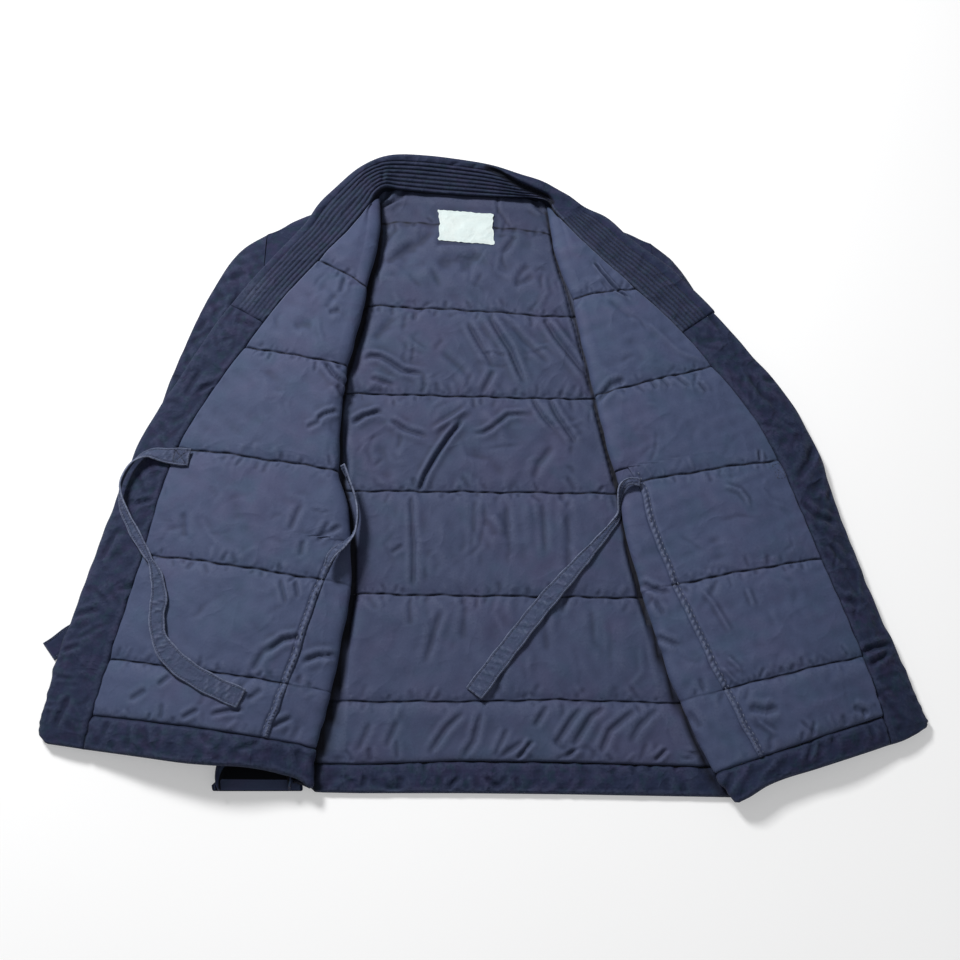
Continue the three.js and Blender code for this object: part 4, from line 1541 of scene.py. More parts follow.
    def label(self) -> Wall:
        """Blank label: a thin sheet, a little askew, with ragged sides, lying on the lining.

        Returns:
            The wall.
        """
        right, up = np.meshgrid(np.linspace(-0.5, 0.5, 67), np.linspace(-0.5, 0.5, 47), indexing="xy")
        random = np.random.default_rng(71)
        ragged_x = np.interp(up[:, :1], np.linspace(-0.5, 0.5, 14), random.normal(0, 0.9, 14))
        ragged_y = np.interp(right[:1], np.linspace(-0.5, 0.5, 21), random.normal(0, 0.45, 21))
        corners = 1.6 * bell(np.abs(up) - 0.45, 0.05) * np.sign(right) * (2 * right) ** 8
        (centre_x, centre_y), (width, length) = LABEL_CENTRE, LABEL_SIZE
        x = centre_x + right * (width + 2.2) + 2 * ragged_x * right + corners - 1.4 * up
        y = centre_y + up * (length - 1.0) + 2 * ragged_y * up - 6.0 * right + 1.4
        edge = 0.5 - np.maximum(np.abs(right), np.abs(up))
        wave = Swell(8, 0.22, 14, 34).at(x, y) + 0.25
        z = CLOTH_THICK + 1.5 + wave * smoothstep(0, 0.12, edge)
        inset = np.minimum((0.5 - np.abs(right)) * width, (0.5 - np.abs(up)) * length)
        stitched = 0.4 * bell(inset - 2.2, 0.5)
        near, far = stacked(x, y, z + 0.5), stacked(x, y, z)
        return Wall("neck_label", near, far, stacked(x, y, 0.0), shade=stitched)

    def stitch_runs(self) -> list[Run]:
        """Threads of the quilting rows, each lying in its groove.

        Returns:
            The threads, as points with the outward directions there.
        """
        runs = []
        for row in QUILTED_ROWS:
            across = np.linspace(self.shown_from, self.shown_to - 0.3, 260)
            x, _ = self.place(np.full_like(across, row), across)
            level = row + self.padding.wander(row, x) / ROW_PITCH
            x, y = self.place(level, across)
            face = stacked(x, y, CLOTH_THICK + self.lift(level, x, y) + THREAD_PROUD)
            runs.append((face, np.broadcast_to([0.0, 0.0, 1.0], face.shape)))
        return runs


# ---- One side: the turned-out front and the turned-up side of the back ----

RIGHT_CREASES = placed({
    (0.3, 0.25): [
        (1.2, 3.9, -166, 186, -152, 191), (0.9, 6.0, -203, 166, -192, 171, -180, 172),
        (1.0, 3.9, -158, 212, -168, 190), (0.7, 9.0, -230, 120, -205, 90),
        (-0.6, 10.0, -200, 200, -215, 150), (1.2, 3.1, -218, -212, -209, -193, -201, -183),
        (1.0, 3.1, -230, -229, -215, -212), (1.1, 2.7, -333, -237, -315, -226),
        (1.3, 2.5, -306, -224, -293, -213), (1.2, 2.5, -220, -238, -205, -226),
        (1.0, 3.9, -300, -44, -296, -76), (0.8, 8.0, -250, -20, -243, -60),
    ],
    (0.4, 0.25): [
        (1.1, 2.7, -149, 236, -154, 210), (0.9, 2.7, -177, -74, -179, -95),
        (0.9, 2.8, -182, -36, -192, -68),
    ],
    (0.6, 0.25): [
        (2.4, 2.5, -168, 129, -156, 111, -143, 99), (1.5, 2.3, -173, 56, -163, 64, -149, 69),
    ],
    (0.5, 0.25): [
        (1.0, 2.3, -182, 48, -165, 57), (1.2, 2.3, -153, 100, -147, 84),
        (1.0, 2.2, -198, -115, -189, -145), (1.0, 2.0, -183, -116, -178, -138),
        (0.9, 2.3, -161, -116, -160, -140), (1.2, 2.7, -152, -54, -163, -78),
        (1.1, 2.3, -161, -72, -139, -59), (2.0, 2.7, -207, -193, -190, -179, -169, -174),
        (2.0, 2.5, -172, -200, -156, -193, -137, -192),
        (1.5, 2.2, -254, -252, -236, -248, -219, -246), (1.6, 2.3, -196, -262, -176, -252),
        (1.2, 2.3, -280, -256, -262, -246),
    ],
})

LEFT_CREASES = placed({
    (0.5, 0.15): [
        (2.9, 1.3, 127, 254, 135, 239, 144, 226, 153, 215, 165, 206),
    ],
    (0.4, 0.25): [
        (1.0, 3.9, 140, 206, 156, 189, 168, 176), (-0.9, 1.9, 216, -125, 229, -143, 245, -175),
        (-1.0, 1.7, 237, -195, 251, -211), (-0.9, 1.7, 231, -205, 247, -223),
        (-0.7, 1.9, 262, -126, 268, -148), (-1.0, 2.0, 260, -255, 279, -270),
        (1.3, 1.6, 290, 25, 290, 10),
    ],
    (0.6, 0.25): [
        (1.0, 2.3, 181, 107, 188, 92), (1.0, 2.2, 193, 108, 202, 94), (1.2, 2.3, 206, 112, 224, 94),
        (1.0, 2.0, 232, 102, 241, 89),
    ],
    (0.5, 0.25): [
        (1.6, 3.1, 122, 78, 129, 86, 140, 99, 158, 106),
        (1.8, 2.5, 157, -118, 172, -126, 187, -131), (1.5, 2.5, 170, -171, 181, -178, 194, -183),
        (1.2, 2.5, 171, -136, 181, -153), (1.9, 3.5, 252, -243, 269, -247, 283, -243),
        (1.4, 3.1, 352, -242, 370, -249),
    ],
    (0.3, 0.25): [
        (-1.1, 1.9, 247, -17, 265, -24, 271, -33, 274, -43), (0.9, 7.0, 160, 160, 176, 120),
        (0.7, 9.0, 200, 60, 230, 40), (0.7, 7.0, 232, -70, 240, -100),
        (1.0, 3.1, 196, -246, 210, -262),
    ],
    (0.2, 0.25): [
        (-0.9, 3.1, 178, 180, 215, 138, 245, 124),
    ],
})

RIGHT_BAND_CREASES = placed({
    (0.5, 0.25): [
        (1.6, 2.3, -354, -35, -332, -30), (1.4, 2.2, -362, -126, -340, -121),
        (1.5, 2.7, -402, -152, -372, -144), (1.5, 2.3, -406, -188, -387, -180),
        (1.8, 2.7, -300, 92, -280, 104),
    ],
    (0.4, 0.25): [
        (1.4, 3.1, -236, 240, -262, 214, -280, 176), (1.6, 2.7, -268, 180, -240, 170),
        (1.3, 3.1, -300, 120, -316, 84), (1.6, 3.0, -366, -60, -380, -96),
        (1.5, 2.7, -392, -228, -404, -262),
    ],
})

LEFT_BAND_CREASES = placed({
    (0.5, 0.25): [
        (2.2, 3.1, 328, -34, 342, -48, 364, -54), (1.6, 3.1, 368, 0, 357, -32),
        (2.4, 2.8, 358, -197, 377, -186, 405, -178), (1.8, 2.5, 374, -203, 401, -185),
        (1.8, 3.6, 350, 38, 340, 12, 326, -10), (1.6, 3.0, 337, -122, 355, -135, 376, -142),
        (1.5, 3.3, 372, -222, 391, -238), (1.7, 3.3, 286, 116, 300, 90, 318, 74),
    ],
    (0.4, 0.25): [
        (1.5, 3.9, 246, 196, 262, 172), (1.4, 3.1, 300, 110, 324, 104),
        (-1.4, 3.9, 372, -84, 384, -112), (-1.3, 6.0, 396, -150, 408, -176),
        (1.6, 3.1, 352, -78, 366, -100),
    ],
})


RIGHT_FLARE = Table("level flare", [
    [0, 0], [2, 0], [2.5, -3], [3, -1.5], [3.5, 3], [4.2, 7], [5, 6.5], [5.6, 5], [6.3, 3], [7, 2],
])

LEFT_FLARE = Table("level flare", [
    [0, 0], [1.57, 0], [2.1, 1.5], [2.5, 5.5], [2.9, 4], [3.5, 1], [4.4, -1], [5.2, 0], [6.2, 4], [7, 2],
])


RIGHT_HEM_RISE = (
    (0, -3), (6, -2), (18, 3.5), (32, 5), (50, 6), (72, 5), (92, 2.5), (122, 0.3), (160, 0), (230, 0),
)
LEFT_HEM_RISE = ((0, 0), (15, 1), (35, 5), (55, 5.5), (85, 3.5), (140, 1), (180, 0))


@dataclass
class Section:
    """Sizes of one side's cross-sections, one value for each level asked for."""

    fold: Array
    edge: Array
    side: Array
    top_way: Array
    hidden_way: Array
    top_length: Array
    hidden_length: Array
    under_z: Array
    fold_z: Array
    turn_radius: Array
    strip: Array


@dataclass
class TurnedSide:
    """One side of the jacket, where the front is turned outwards over the sleeve.

    Its surface has two parameters: the level, and q, the distance along the cloth outwards from
    the outermost line of the rolled fold. q is below zero on the way to the hidden layer.
    """

    word: str
    plan: Table
    heights: Table
    outward: float
    seam_level: float
    collar_end: float
    creases: list[Crease]
    band_creases: list[Crease]
    seed: int
    flare: Table
    strewn_over: tuple[tuple[float, float], tuple[float, float]]
    hem_rise: Path
    shoulder_bulge: float = 0.0
    anchor_level: float = 0.0
    corner_rise: float = 0.0
    padding: Padding = Padding((*QUILTED_ROWS, HEM_SEAM_LEVEL))
    top_columns: int = 160
    row_pitch: float = 1.8

    def __post_init__(self) -> None:
        """Gathers the relief of the front's lining, its band and its hem facing."""
        seed = self.seed
        creases = list(self.creases)
        for row in QUILTED_ROWS:
            puckers = Puckers(seed + row, spacing=10, reach=12, depth=0.6)
            creases += puckers.beside_row(self.line(row, 0.04, 0.98))
        creases += Strewn(
            seed + 20, 80, *self.strewn_over, depth=0.2, width=2.3, length=36, heading=80, spread=60
        ).creases()
        hem_line = self.line(HEM_SEAM_LEVEL, 0.03, 1.0)
        creases += Puckers(seed + 7, spacing=9, reach=14, depth=0.7).along(hem_line)
        swells = [Swell(seed + 8, 0.6, 40, 100), Swell(seed + 9, 0.22, 15, 34)]
        self.relief = Relief(creases, swells)
        bands = list(self.band_creases)
        for number, part in enumerate((0.1, 0.5, 0.8)):
            puckers = Puckers(seed + 14 + number, spacing=12, reach=18, depth=0.55, width=2.3, slant=1.2)
            bands += puckers.along(self.band_line(part))
        self.band_relief = Relief(bands, [Swell(seed + 11, 0.45, 14, 44)])
        facing = Puckers(seed + 12, spacing=7.5, reach=19, depth=1.3, width=2.6, slant=0.8)
        self.hem_relief = Relief(facing.along(hem_line), [Swell(seed + 13, 0.5, 11, 32)])

    # -- the surface's form --

    def section(self, level: Array) -> Section:
        """Reads the tables.

        Args:
            level: Levels, of any array shape.

        Returns:
            The sizes of the cross-section at each level.
        """
        level = np.asarray(level, dtype=float)
        fold_x, fold_y, edge_x, edge_y, strip = self.plan.curves("foldX foldY edgeX edgeY strip", level)
        fold = stacked(fold_x + self.fold_ripple(level) * self.outward, fold_y)
        edge = stacked(edge_x + self.edge_ripple(level) * self.outward, edge_y)
        side_x, side_y = BACK_PLAN.curves(f"{self.word}X {self.word}Y", level)
        side = stacked(side_x, side_y + corner_rise(level, side_x))
        under_z = self.heights.curve("underZ", level)
        return Section(
            fold=fold, edge=edge, side=side,
            top_way=unit(edge - fold), hidden_way=unit(side - fold),
            top_length=np.linalg.norm(edge - fold, axis=-1),
            hidden_length=np.linalg.norm(side - fold, axis=-1),
            under_z=under_z, fold_z=under_z + ROLL_RADIUS,
            turn_radius=0.5 * (under_z - CLOTH_THICK),
            strip=np.maximum(strip, 0.0),
        )

    def fold_ripple(self, level: Array) -> Array:
        """Small in and out of the fold's line: three sines of the level, calm at the neck."""
        calm = smoothstep(0.2, 0.9, level)
        wave = np.sin(9.1 * level + self.seed) + 0.7 * np.sin(17.3 * level + 2 * self.seed)
        return 0.45 * calm * wave

    def edge_ripple(self, level: Array) -> Array:
        """Small in and out of the lining's edge, growing towards the hem."""
        wave = np.sin(13.7 * level + 3 * self.seed) + 0.6 * np.sin(29.0 * level + self.seed)
        return 0.35 * smoothstep(1.2, 4.5, level) * wave

    def seam_q(self, level: Array) -> Array:
        """q of the side seam: on the fold's outermost line at first, then further up and out.

        Args:
            level: Levels.

        Returns:
            Distances along the cloth from the fold.
        """
        strip = self.section(level).strip
        angle = np.arccos(1 - np.clip(strip / ROLL_REACH, 0, 1))
        on_roll = angle / HALF_PI * UPPER_QUARTER
        past = UPPER_QUARTER + strip - ROLL_REACH
        return np.maximum(np.where(strip > ROLL_REACH, past, on_roll), 0.3)

    def end_q(self, level: Array) -> Array:
        """q of the lining's outer edge."""
        return UPPER_QUARTER + self.section(level).top_length - ROLL_REACH

    def place(self, level: Array, q: Array, depth: Array | float) -> Array:
        """Points of the side's surface.

        From far inside to far outside the section is: a half round turn at the side, a straight
        hidden layer, a quarter circle, a quarter ellipse, and the top layer, whose height is a
        cubic through four heights.

        Args:
            level: Levels.
            q: Distances along the cloth from the fold's outermost line, of the same shape.
            depth: Depth in from the lining's face; negative stands out of it.

        Returns:
            Points in millimetres, in a last axis of three.
        """
        section = self.section(level)
        depth = np.broadcast_to(np.asarray(depth, dtype=float), q.shape)
        angle = np.where(q < 0, q / ROLL_RADIUS, q / UPPER_QUARTER * HALF_PI)
        angle = np.clip(angle, -HALF_PI, HALF_PI)
        part = (angle / math.pi + 0.5)[..., None]
        way = unit(section.hidden_way * (1 - part) + section.top_way * part)
        reach = np.where(q < 0, ROLL_RADIUS, ROLL_REACH)
        roll = section.fold + way * (reach - (reach - depth) * np.cos(angle))[..., None]
        roll_z = section.fold_z + (ROLL_RADIUS - depth) * np.sin(angle)
        along = ROLL_REACH + np.maximum(q - UPPER_QUARTER, 0)
        top = section.fold + section.top_way * along[..., None]
        top_z = self.top_height(level, section, along) - depth
        back_q = np.maximum(-q - LOWER_QUARTER, 0)
        straight = section.hidden_length - ROLL_RADIUS
        inward = ROLL_RADIUS + np.minimum(back_q, straight)
        middle = section.fold + section.hidden_way * inward[..., None]
        bend = np.clip((back_q - straight) / np.maximum(section.turn_radius, 0.1), 0, math.pi)
        radius = section.turn_radius + depth
        turn = section.side + section.hidden_way * (GAP + radius * np.sin(bend))[..., None]
        turn_z = CLOTH_THICK + section.turn_radius + radius * np.cos(bend)
        stretches = [on_plan(turn, turn_z), on_plan(middle, section.under_z + depth), on_plan(top, top_z)]
        holds = [back_q > straight, q < -LOWER_QUARTER, q > UPPER_QUARTER]
        return np.select([here[..., None] for here in holds], stretches, on_plan(roll, roll_z))

    def top_height(self, level: Array, section: Section, along: Array) -> Array:
        """Height of the top layer's face: a cubic through the heights at four equal parts.

        Args:
            level: Levels.
            section: Section at those levels.
            along: Distances from the fold in plan.

        Returns:
            Heights in millimetres.
        """
        part = 3 * np.clip((along - ROLL_REACH) / np.maximum(section.top_length - ROLL_REACH, 1), 0, 1)
        knots = [section.fold_z + ROLL_RADIUS, *self.heights.curves("thirdZ twoThirdsZ edgeZ", level)]
        slopes = [
            knots[1] - knots[0], 0.5 * (knots[2] - knots[0]), 0.5 * (knots[3] - knots[1]),
            knots[3] - knots[2],
        ]
        i = np.minimum(part.astype(int), 2)
        ends = (chosen(values, k) for values in (knots, slopes) for k in (i, i + 1))
        return cubic(part - i, *ends)

    def line(self, level: float, low: float, high: float) -> list[tuple[float, float]]:
        """A stitched row of the top layer, between two parts of its length, in plan."""
        levels = np.full(9, float(level))
        return self.place(levels, self.end_q(levels) * np.linspace(low, high, 9), 0.0)[:, :2].tolist()

    def band_line(self, part: float) -> list[tuple[float, float]]:
        """Line along the band, at a part of its width, in plan."""
        levels = np.linspace(self.collar_end, 6.8, 30)
        return self.band_place(levels, np.full_like(levels, part), 0.0)[:, :2].tolist()

    # -- the front's lining and outer cloth --

    def hidden_columns(self, level: Array) -> Array:
        """q of the grid's hidden columns: the turn, the middle layer and the roll's lower half.

        Args:
            level: Levels, one for each row.

        Returns:
            Distances along the cloth, rows by columns.
        """
        section = self.section(level)
        turn = (math.pi * np.maximum(section.turn_radius, 0.1))[:, None]
        middle = -LOWER_QUARTER - (section.hidden_length - ROLL_RADIUS)[:, None]
        turning, lying, rolling = (
            np.linspace(1, 0, count, endpoint=False) for count in (TURN_COLUMNS, 3, 9)
        )
        return np.concatenate([
            middle - turn * turning,
            middle * lying - LOWER_QUARTER * (1 - lying),
            np.tile(-LOWER_QUARTER * rolling, (len(level), 1)),
        ], axis=1)

    def grid(
        self, levels: Array, start: Array | float, end: Array, spread: Array
    ) -> tuple[Array, Array]:
        """Grid of a panel: its hidden columns and those that show.

        Args:
            levels: Levels of its rows.
            start: q at which the columns that show begin, for each row.
            end: q at which they end.
            spread: Shares of the way from start to end.

        Returns:
            The level and q of each point.
        """
        shown = np.outer(end - start, spread) + np.broadcast_to(start, end.shape)[:, None]
        q = np.concatenate([self.hidden_columns(levels), shown], axis=1)
        return np.broadcast_to(levels[:, None], q.shape), q

    def panel(
        self, name: str, level: Array, q: Array, lift: Array | float, depth: Array | float,
        **marks: Array | bool | None,
    ) -> Wall:
        """A panel of this side.

        Args:
            name: Name of its object.
            level: Levels of its points.
            q: Distances of its points from the fold.
            lift: How far its near face stands out of the lining's plain face.
            depth: How deep its far face lies.
            **marks: What else the wall keeps.

        Returns:
            The wall, drawn up at the hem.
        """
        near, far = self.place(level, q, -lift), self.place(level, q, depth)
        rise = self.risen(level, q)
        near[..., 1] += rise
        far[..., 1] += rise
        return Wall(name, near, far, self.place(level, q, 0.5 * CLOTH_THICK), **marks)

    @staticmethod
    def shown(q: Array) -> Array:
        """1 on the layers that show, falling to 0 round the roll to the hidden ones."""
        return smoothstep(-LOWER_QUARTER, 0.6 * UPPER_QUARTER, q)

    @staticmethod
    def at_hem_seam(level: Array) -> Array:
        """Drop of the rounded edge at the hem facing's seam."""
        return round_over((HEM_SEAM_LEVEL - level) * SIDE_LAST_PITCH, 2.8)

    def lining_lift(self, level: Array, q: Array, x: Array, y: Array) -> Array:
        """Height of the front's lining above its plain face.

        Args:
            level: Levels.
            q: Distances along the cloth from the fold.
            x: Plan of the plain face.
            y: Plan of the plain face.

        Returns:
            Padding and relief, fading into the hidden layer, with rounded edges at the seams and
            a puckered ridge beside the side seam.
        """
        height = (self.padding.height(level, q) - TUFT) * smoothstep(0.0, 0.5, level)
        height += self.relief.at(x, y)
        height -= round_over(self.end_q(level) - q, 2.4) + self.at_hem_seam(level)
        height *= self.shown(q)
        sewn = smoothstep(self.seam_level - 0.05, self.seam_level + 0.25, level)
        from_seam = q - self.seam_q(level)
        ridge = bell(from_seam - SEAM_RIDGE, 2.3) * (0.35 + 1.1 * self.knots(level, from_seam))
        height += sewn * ridge * 1.5
        height -= sewn * 1.1 * bell(from_seam - SEAM_FOOT, 1.5)
        height -= sewn * self.at_seam(from_seam)
        return np.maximum(height, -DEEPEST)

    @staticmethod
    def at_seam(away: Array) -> Array:
        """Drop of the slightly rounded edge at the side seam."""
        return 0.6 * round_over(np.maximum(away, 0), 0.8)

    def front(self, lining: bool) -> Wall:
        """The front panel: its padded lining, or its outer cloth.

        Args:
            lining: Whether to make the lining; otherwise the outer cloth.

        Returns:
            The wall, rolled over the fold above the side seam's start and cut at the seam below.
        """
        marks = (0, UNDERARM_LEVEL, self.seam_level, HEM_SEAM_LEVEL - LEVEL_GAP)
        pitch, rows = (self.row_pitch, self.padding.rows) if lining else (9, ())
        levels = level_rows(marks, pitch, rows)
        start = np.where(levels >= self.seam_level, self.seam_q(levels) + SEAM_GAP, 0.0)
        end = self.end_q(levels) - (0.5 * SEAM_GAP if lining else 1.0)
        even = np.linspace(0, 1, self.top_columns if lining else 28)
        spread = even - 0.4 * np.sin(2 * math.pi * even) / (2 * math.pi)
        level, q = self.grid(levels, start, end, spread)
        row_level = 0.5 * (levels[1:] + levels[:-1])
        kept = np.ones((len(levels) - 1, q.shape[1] - 1), bool)
        kept[row_level > self.seam_level, : q.shape[1] - len(even)] = False
        kept[row_level < UNDERARM_LEVEL, :TURN_COLUMNS] = False
        flat = stacked(q, -level * ROW_PITCH)
        if not lining:
            name = f"front_{self.word}_outer_cloth"
            lift = -(LINING_THICK + GAP)
            return self.panel(name, level, q, lift, CLOTH_THICK, kept=kept, flat=flat)
        plain = self.place(level, q, 0.0)
        lift = self.lining_lift(level, q, plain[..., 0], plain[..., 1])
        wear, shade = self._front_marks(level, q, lift)
        return self.panel(
            f"front_{self.word}_quilted_lining", level, q, lift, LINING_THICK,
            kept=kept, wear=wear, shade=shade, flat=flat, fine=True,
        )

    def _front_marks(self, level: Array, q: Array, lift: Array) -> tuple[Array, Array]:
        """Worn fading and painted highlights on the side seam's puckers and the relief's ridges, worn paler
        along the sewn edge, and painted shade in the stitched grooves, the troughs and under the fold.

        Args:
            level: Levels.
            q: Distances along the cloth from the fold.
            lift: Height of the relief.

        Returns:
            Paler shares, partly painted highlight, and painted shade.
        """
        sewn = smoothstep(self.seam_level, self.seam_level + 0.3, level)
        from_seam = q - self.seam_q(level)
        worn = 0.05 + 0.75 * self.knots(level, from_seam)
        wear = sewn * worn * bell(from_seam - SEAM_RIDGE, 2.1)
        edge = self.end_q(level) - q
        inside = smoothstep(0, 6, edge)
        wear += 0.8 * bell(edge - 1.0, 0.9) * smoothstep(2.6, 0.6, level) + ridge_wear_and_highlight(lift) * inside
        shade = self.padding.shade(level, q) * smoothstep(-2, 3, q) + trough_painted_shade(lift) * inside
        return np.clip(wear, 0, 1), shade + self.painted_shade_under_fold(q)

    @staticmethod
    def painted_shade_under_fold(q: Array) -> Array:
        """Share of painted shade on the roll's lower half, in the gap beside the fold."""
        return 0.9 * smoothstep(1.5, -4.0, q)

    @staticmethod
    def knots(level: Array, from_seam: Array) -> Array:
        """Slanting puckers across the side seam's ridge, from 0 between them to 1 on them."""
        run = level * ROW_PITCH
        return 0.5 + 0.5 * np.sin(2 * math.pi * run / 6.2 + 1.1 * np.sin(run / 7.0) + 0.7 * from_seam)

    def shoulder(self) -> Wall:
        """The shoulder: outer cloth that turns down from the middle layer to the floor.

        The turn is half a circle round the shoulder line, from the middle layer's outer face to
        the back's.

        Returns:
            The wall.
        """
        bend, along = np.meshgrid(np.linspace(0, math.pi, 13), np.linspace(0, 1, 50), indexing="ij")
        section = self.section(np.zeros_like(along))
        plan = section.side + (section.fold - section.side) * along[..., None]
        chord = unit(section.fold[0, 0] - section.side[0, 0])
        out = np.array([chord[1], -chord[0]]) * self.outward
        centre = 0.5 * (section.under_z + CLOTH_THICK)
        tip = 0.15 + 0.85 * smoothstep(0, 0.25, along)
        full = 1 + self.shoulder_bulge * bell(along - 0.42, 0.24)
        faces = []
        for inset in (0.0, SHELL_THICK):
            radius = centre - inset
            reach = 0.2 + radius * np.sin(bend) * tip * full
            faces.append(on_plan(plan + out * reach[..., None], centre + radius * np.cos(bend)))
        return Wall(f"shoulder_{self.word}", *faces, faces[0])

    # -- the back's own side, the hem facing and the band --

    def back_side(self) -> Wall:
        """The back's side, turned up and rolled over as far as the side seam.

        Returns:
            The wall.
        """
        marks = (self.seam_level + LEVEL_GAP, HEM_SEAM_LEVEL - LEVEL_GAP)
        levels = level_rows(marks, 2.2, self.padding.rows)
        end = self.seam_q(levels) - SEAM_GAP
        level, q = self.grid(levels, 0.0, np.maximum(end, 0.1), np.linspace(0, 1, 26))
        plain = self.place(level, q, 0.0)
        lift = 0.4 * (self.padding.height(level, q) - TUFT)
        lift = (lift + self.relief.at(plain[..., 0], plain[..., 1])) * self.shown(q)
        edges = self.at_seam(end[:, None] - q) + self.at_hem_seam(level)
        # Ridges are paler, partly painted highlight; painted shade lies in the troughs and on the roll's
        # lower half.
        return self.panel(
            f"back_side_{self.word}_strip", level, q,
            np.maximum(lift - edges * self.shown(q), -DEEPEST), CLOTH_THICK, wear=ridge_wear_and_highlight(lift),
            shade=trough_painted_shade(lift) + self.painted_shade_under_fold(q), flat=stacked(q, -level * ROW_PITCH),
        )

    def hem(self) -> Wall:
        """Hem facing of the front, carried on round the fold and the turn to the back's hem.

        Returns:
            The wall.
        """
        levels = np.linspace(HEM_SEAM_LEVEL, HEM_LEVEL, 20)
        end = self.end_q(levels) - 0.5 * SEAM_GAP
        level, q = self.grid(levels, 0.0, end, np.linspace(0, 1, 110))
        plain = self.place(level, q, 0.0)
        to_hem = (HEM_LEVEL - level) * SIDE_HEM_WIDTH
        to_seam = (level - HEM_SEAM_LEVEL) * SIDE_HEM_WIDTH
        lift = self.hem_relief.at(plain[..., 0], plain[..., 1]) * smoothstep(0, 4, to_hem)
        lift += 0.9 * np.sin(math.pi * (level - HEM_SEAM_LEVEL)) - round_over(end[:, None] - q, 1.6)
        lift *= self.shown(q)
        lift -= round_over(to_hem, EDGE_ROUND) + round_over(to_seam, 2.4)
        # The hem edge is worn pale; ridges are paler, partly painted highlight; painted shade lies in the
        # troughs and on the roll's lower half.
        return self.panel(
            f"hem_facing_{self.word}", level, q, lift, CLOTH_THICK - round_over(to_hem, UNDER_ROUND),
            wear=0.3 * bell(to_hem, 2.5) + ridge_wear_and_highlight(lift), shade=trough_painted_shade(lift) + self.painted_shade_under_fold(q),
        )

    def risen(self, level: Array, q: Array) -> Array:
        """How far the hem is drawn up at distances from the fold, in millimetres."""
        keys, values = np.array(self.hem_rise, dtype=float).T
        drawn = smooth_curve(keys, values, np.clip(q, 0, keys[-1]))
        return drawn * smoothstep(HEM_SEAM_LEVEL, HEM_LEVEL, level)

    def band_place(self, level: Array, part: Array, depth: Array | float) -> Array:
        """Points of the band.

        Args:
            level: Levels.
            part: 0 at the lining's edge, 1 at the front's own edge.
            depth: Depth below the band's face.

        Returns:
            Points: out from the lining's edge, square to it, along a face that slopes down.
        """
        step = 0.3
        before, after = (
            stacked(*self.plan.curves("edgeX edgeY", np.clip(at, 0, HEM_LEVEL)))
            for at in (level - step, level + step)
        )
        along = unit(after - before)
        out = stacked(-along[..., 1], along[..., 0]) * self.outward
        width = self.plan.curve("band", level)
        plan = self.section(level).edge + out * (0.5 * SEAM_GAP + width * part)[..., None]
        edge_z, band_z = self.heights.curves("edgeZ bandZ", level)
        return on_plan(plan, edge_z + (band_z - edge_z) * part**1.5 - depth)

    def band(self) -> Wall:
        """The front band: plain outer cloth, folded at the front's edge.

        Returns:
            The wall.
        """
        levels = np.linspace(self.collar_end + LEVEL_GAP, HEM_LEVEL, 230)
        level, part = np.meshgrid(levels, np.linspace(0, 1, 27) ** 0.9, indexing="ij")
        plain = self.band_place(level, part, 0.0)
        width = self.plan.curve("band", level)
        to_edge, to_seam = (1 - part) * width, part * width
        to_hem = (HEM_LEVEL - level) * SIDE_HEM_WIDTH
        to_collar = (level - self.collar_end) * ROW_PITCH
        ripple = 0.6 * np.sin(5.3 * level + self.seed) + 0.35 * np.sin(17 * level)
        ripple = (ripple + self.flare.curve("flare", level)) * smoothstep(0, 26, to_collar)
        ripple -= 0.8 * round_over(to_hem, 16.0)
        wider = part + ripple * part**2 / width
        ends = smoothstep(0, 5, to_hem) * smoothstep(0, 3, to_collar)
        lift = 0.7 * np.sin(math.pi * part)
        lift += self.band_relief.at(plain[..., 0], plain[..., 1]) * ends
        lift = lift * smoothstep(0, 5, to_edge) - round_over(to_collar, 0.7)
        lift -= round_over(to_edge, EDGE_ROUND) + round_over(to_seam, 2.0) + round_over(to_hem, 2.8)
        depth = CLOTH_THICK - round_over(to_edge, UNDER_ROUND) - round_over(to_hem, UNDER_ROUND)
        near, far = self.band_place(level, wider, -lift), self.band_place(level, wider, depth)
        rise = self.risen(level, self.end_q(level))
        rise += self.corner_rise * part**1.5 * smoothstep(HEM_LEVEL - 0.9, HEM_LEVEL, level)
        near[..., 1] += rise
        far[..., 1] += rise
        # Edges are worn pale; ridges are paler, partly painted highlight; painted shade lies in the troughs.
        return Wall(
            f"front_band_{self.word}", near, far, plain,
            wear=0.08 * bell(to_edge, 2) + 0.2 * bell(to_seam, 1.2) + ridge_wear_and_highlight(lift),
            shade=trough_painted_shade(lift), flat=stacked(to_seam, -level * ROW_PITCH),
        )

    def stitch_runs(self) -> list[Run]:
        """Threads of the front's quilting rows, each lying in its groove.

        Returns:
            The threads, as points with the outward directions there.
        """
        runs = []
        for row in QUILTED_ROWS:
            level = np.full(220, float(row))
            begin = self.seam_q(level) + 4 if row > self.seam_level else 0 * level
            q = begin + (self.end_q(level) - 2.5 - begin) * np.linspace(0, 1, 220)
            runs.append(self._thread(level + self.padding.wander(row, q) / ROW_PITCH, q))
        return runs + self.anchor_runs()

    def seam_runs(self) -> list[Run]:
        """Threads of the side seam: one on its puckered ridge and one along its foot.

        Returns:
            The threads, as points with the outward directions there.
        """
        level = np.linspace(self.seam_level + 0.05, HEM_SEAM_LEVEL - 0.03, 300)
        return [
            self._thread(level, self.seam_q(level) + away, proud)
            for away, proud in ((SEAM_RIDGE, -0.2), (SEAM_FOOT, 0.35))
        ]

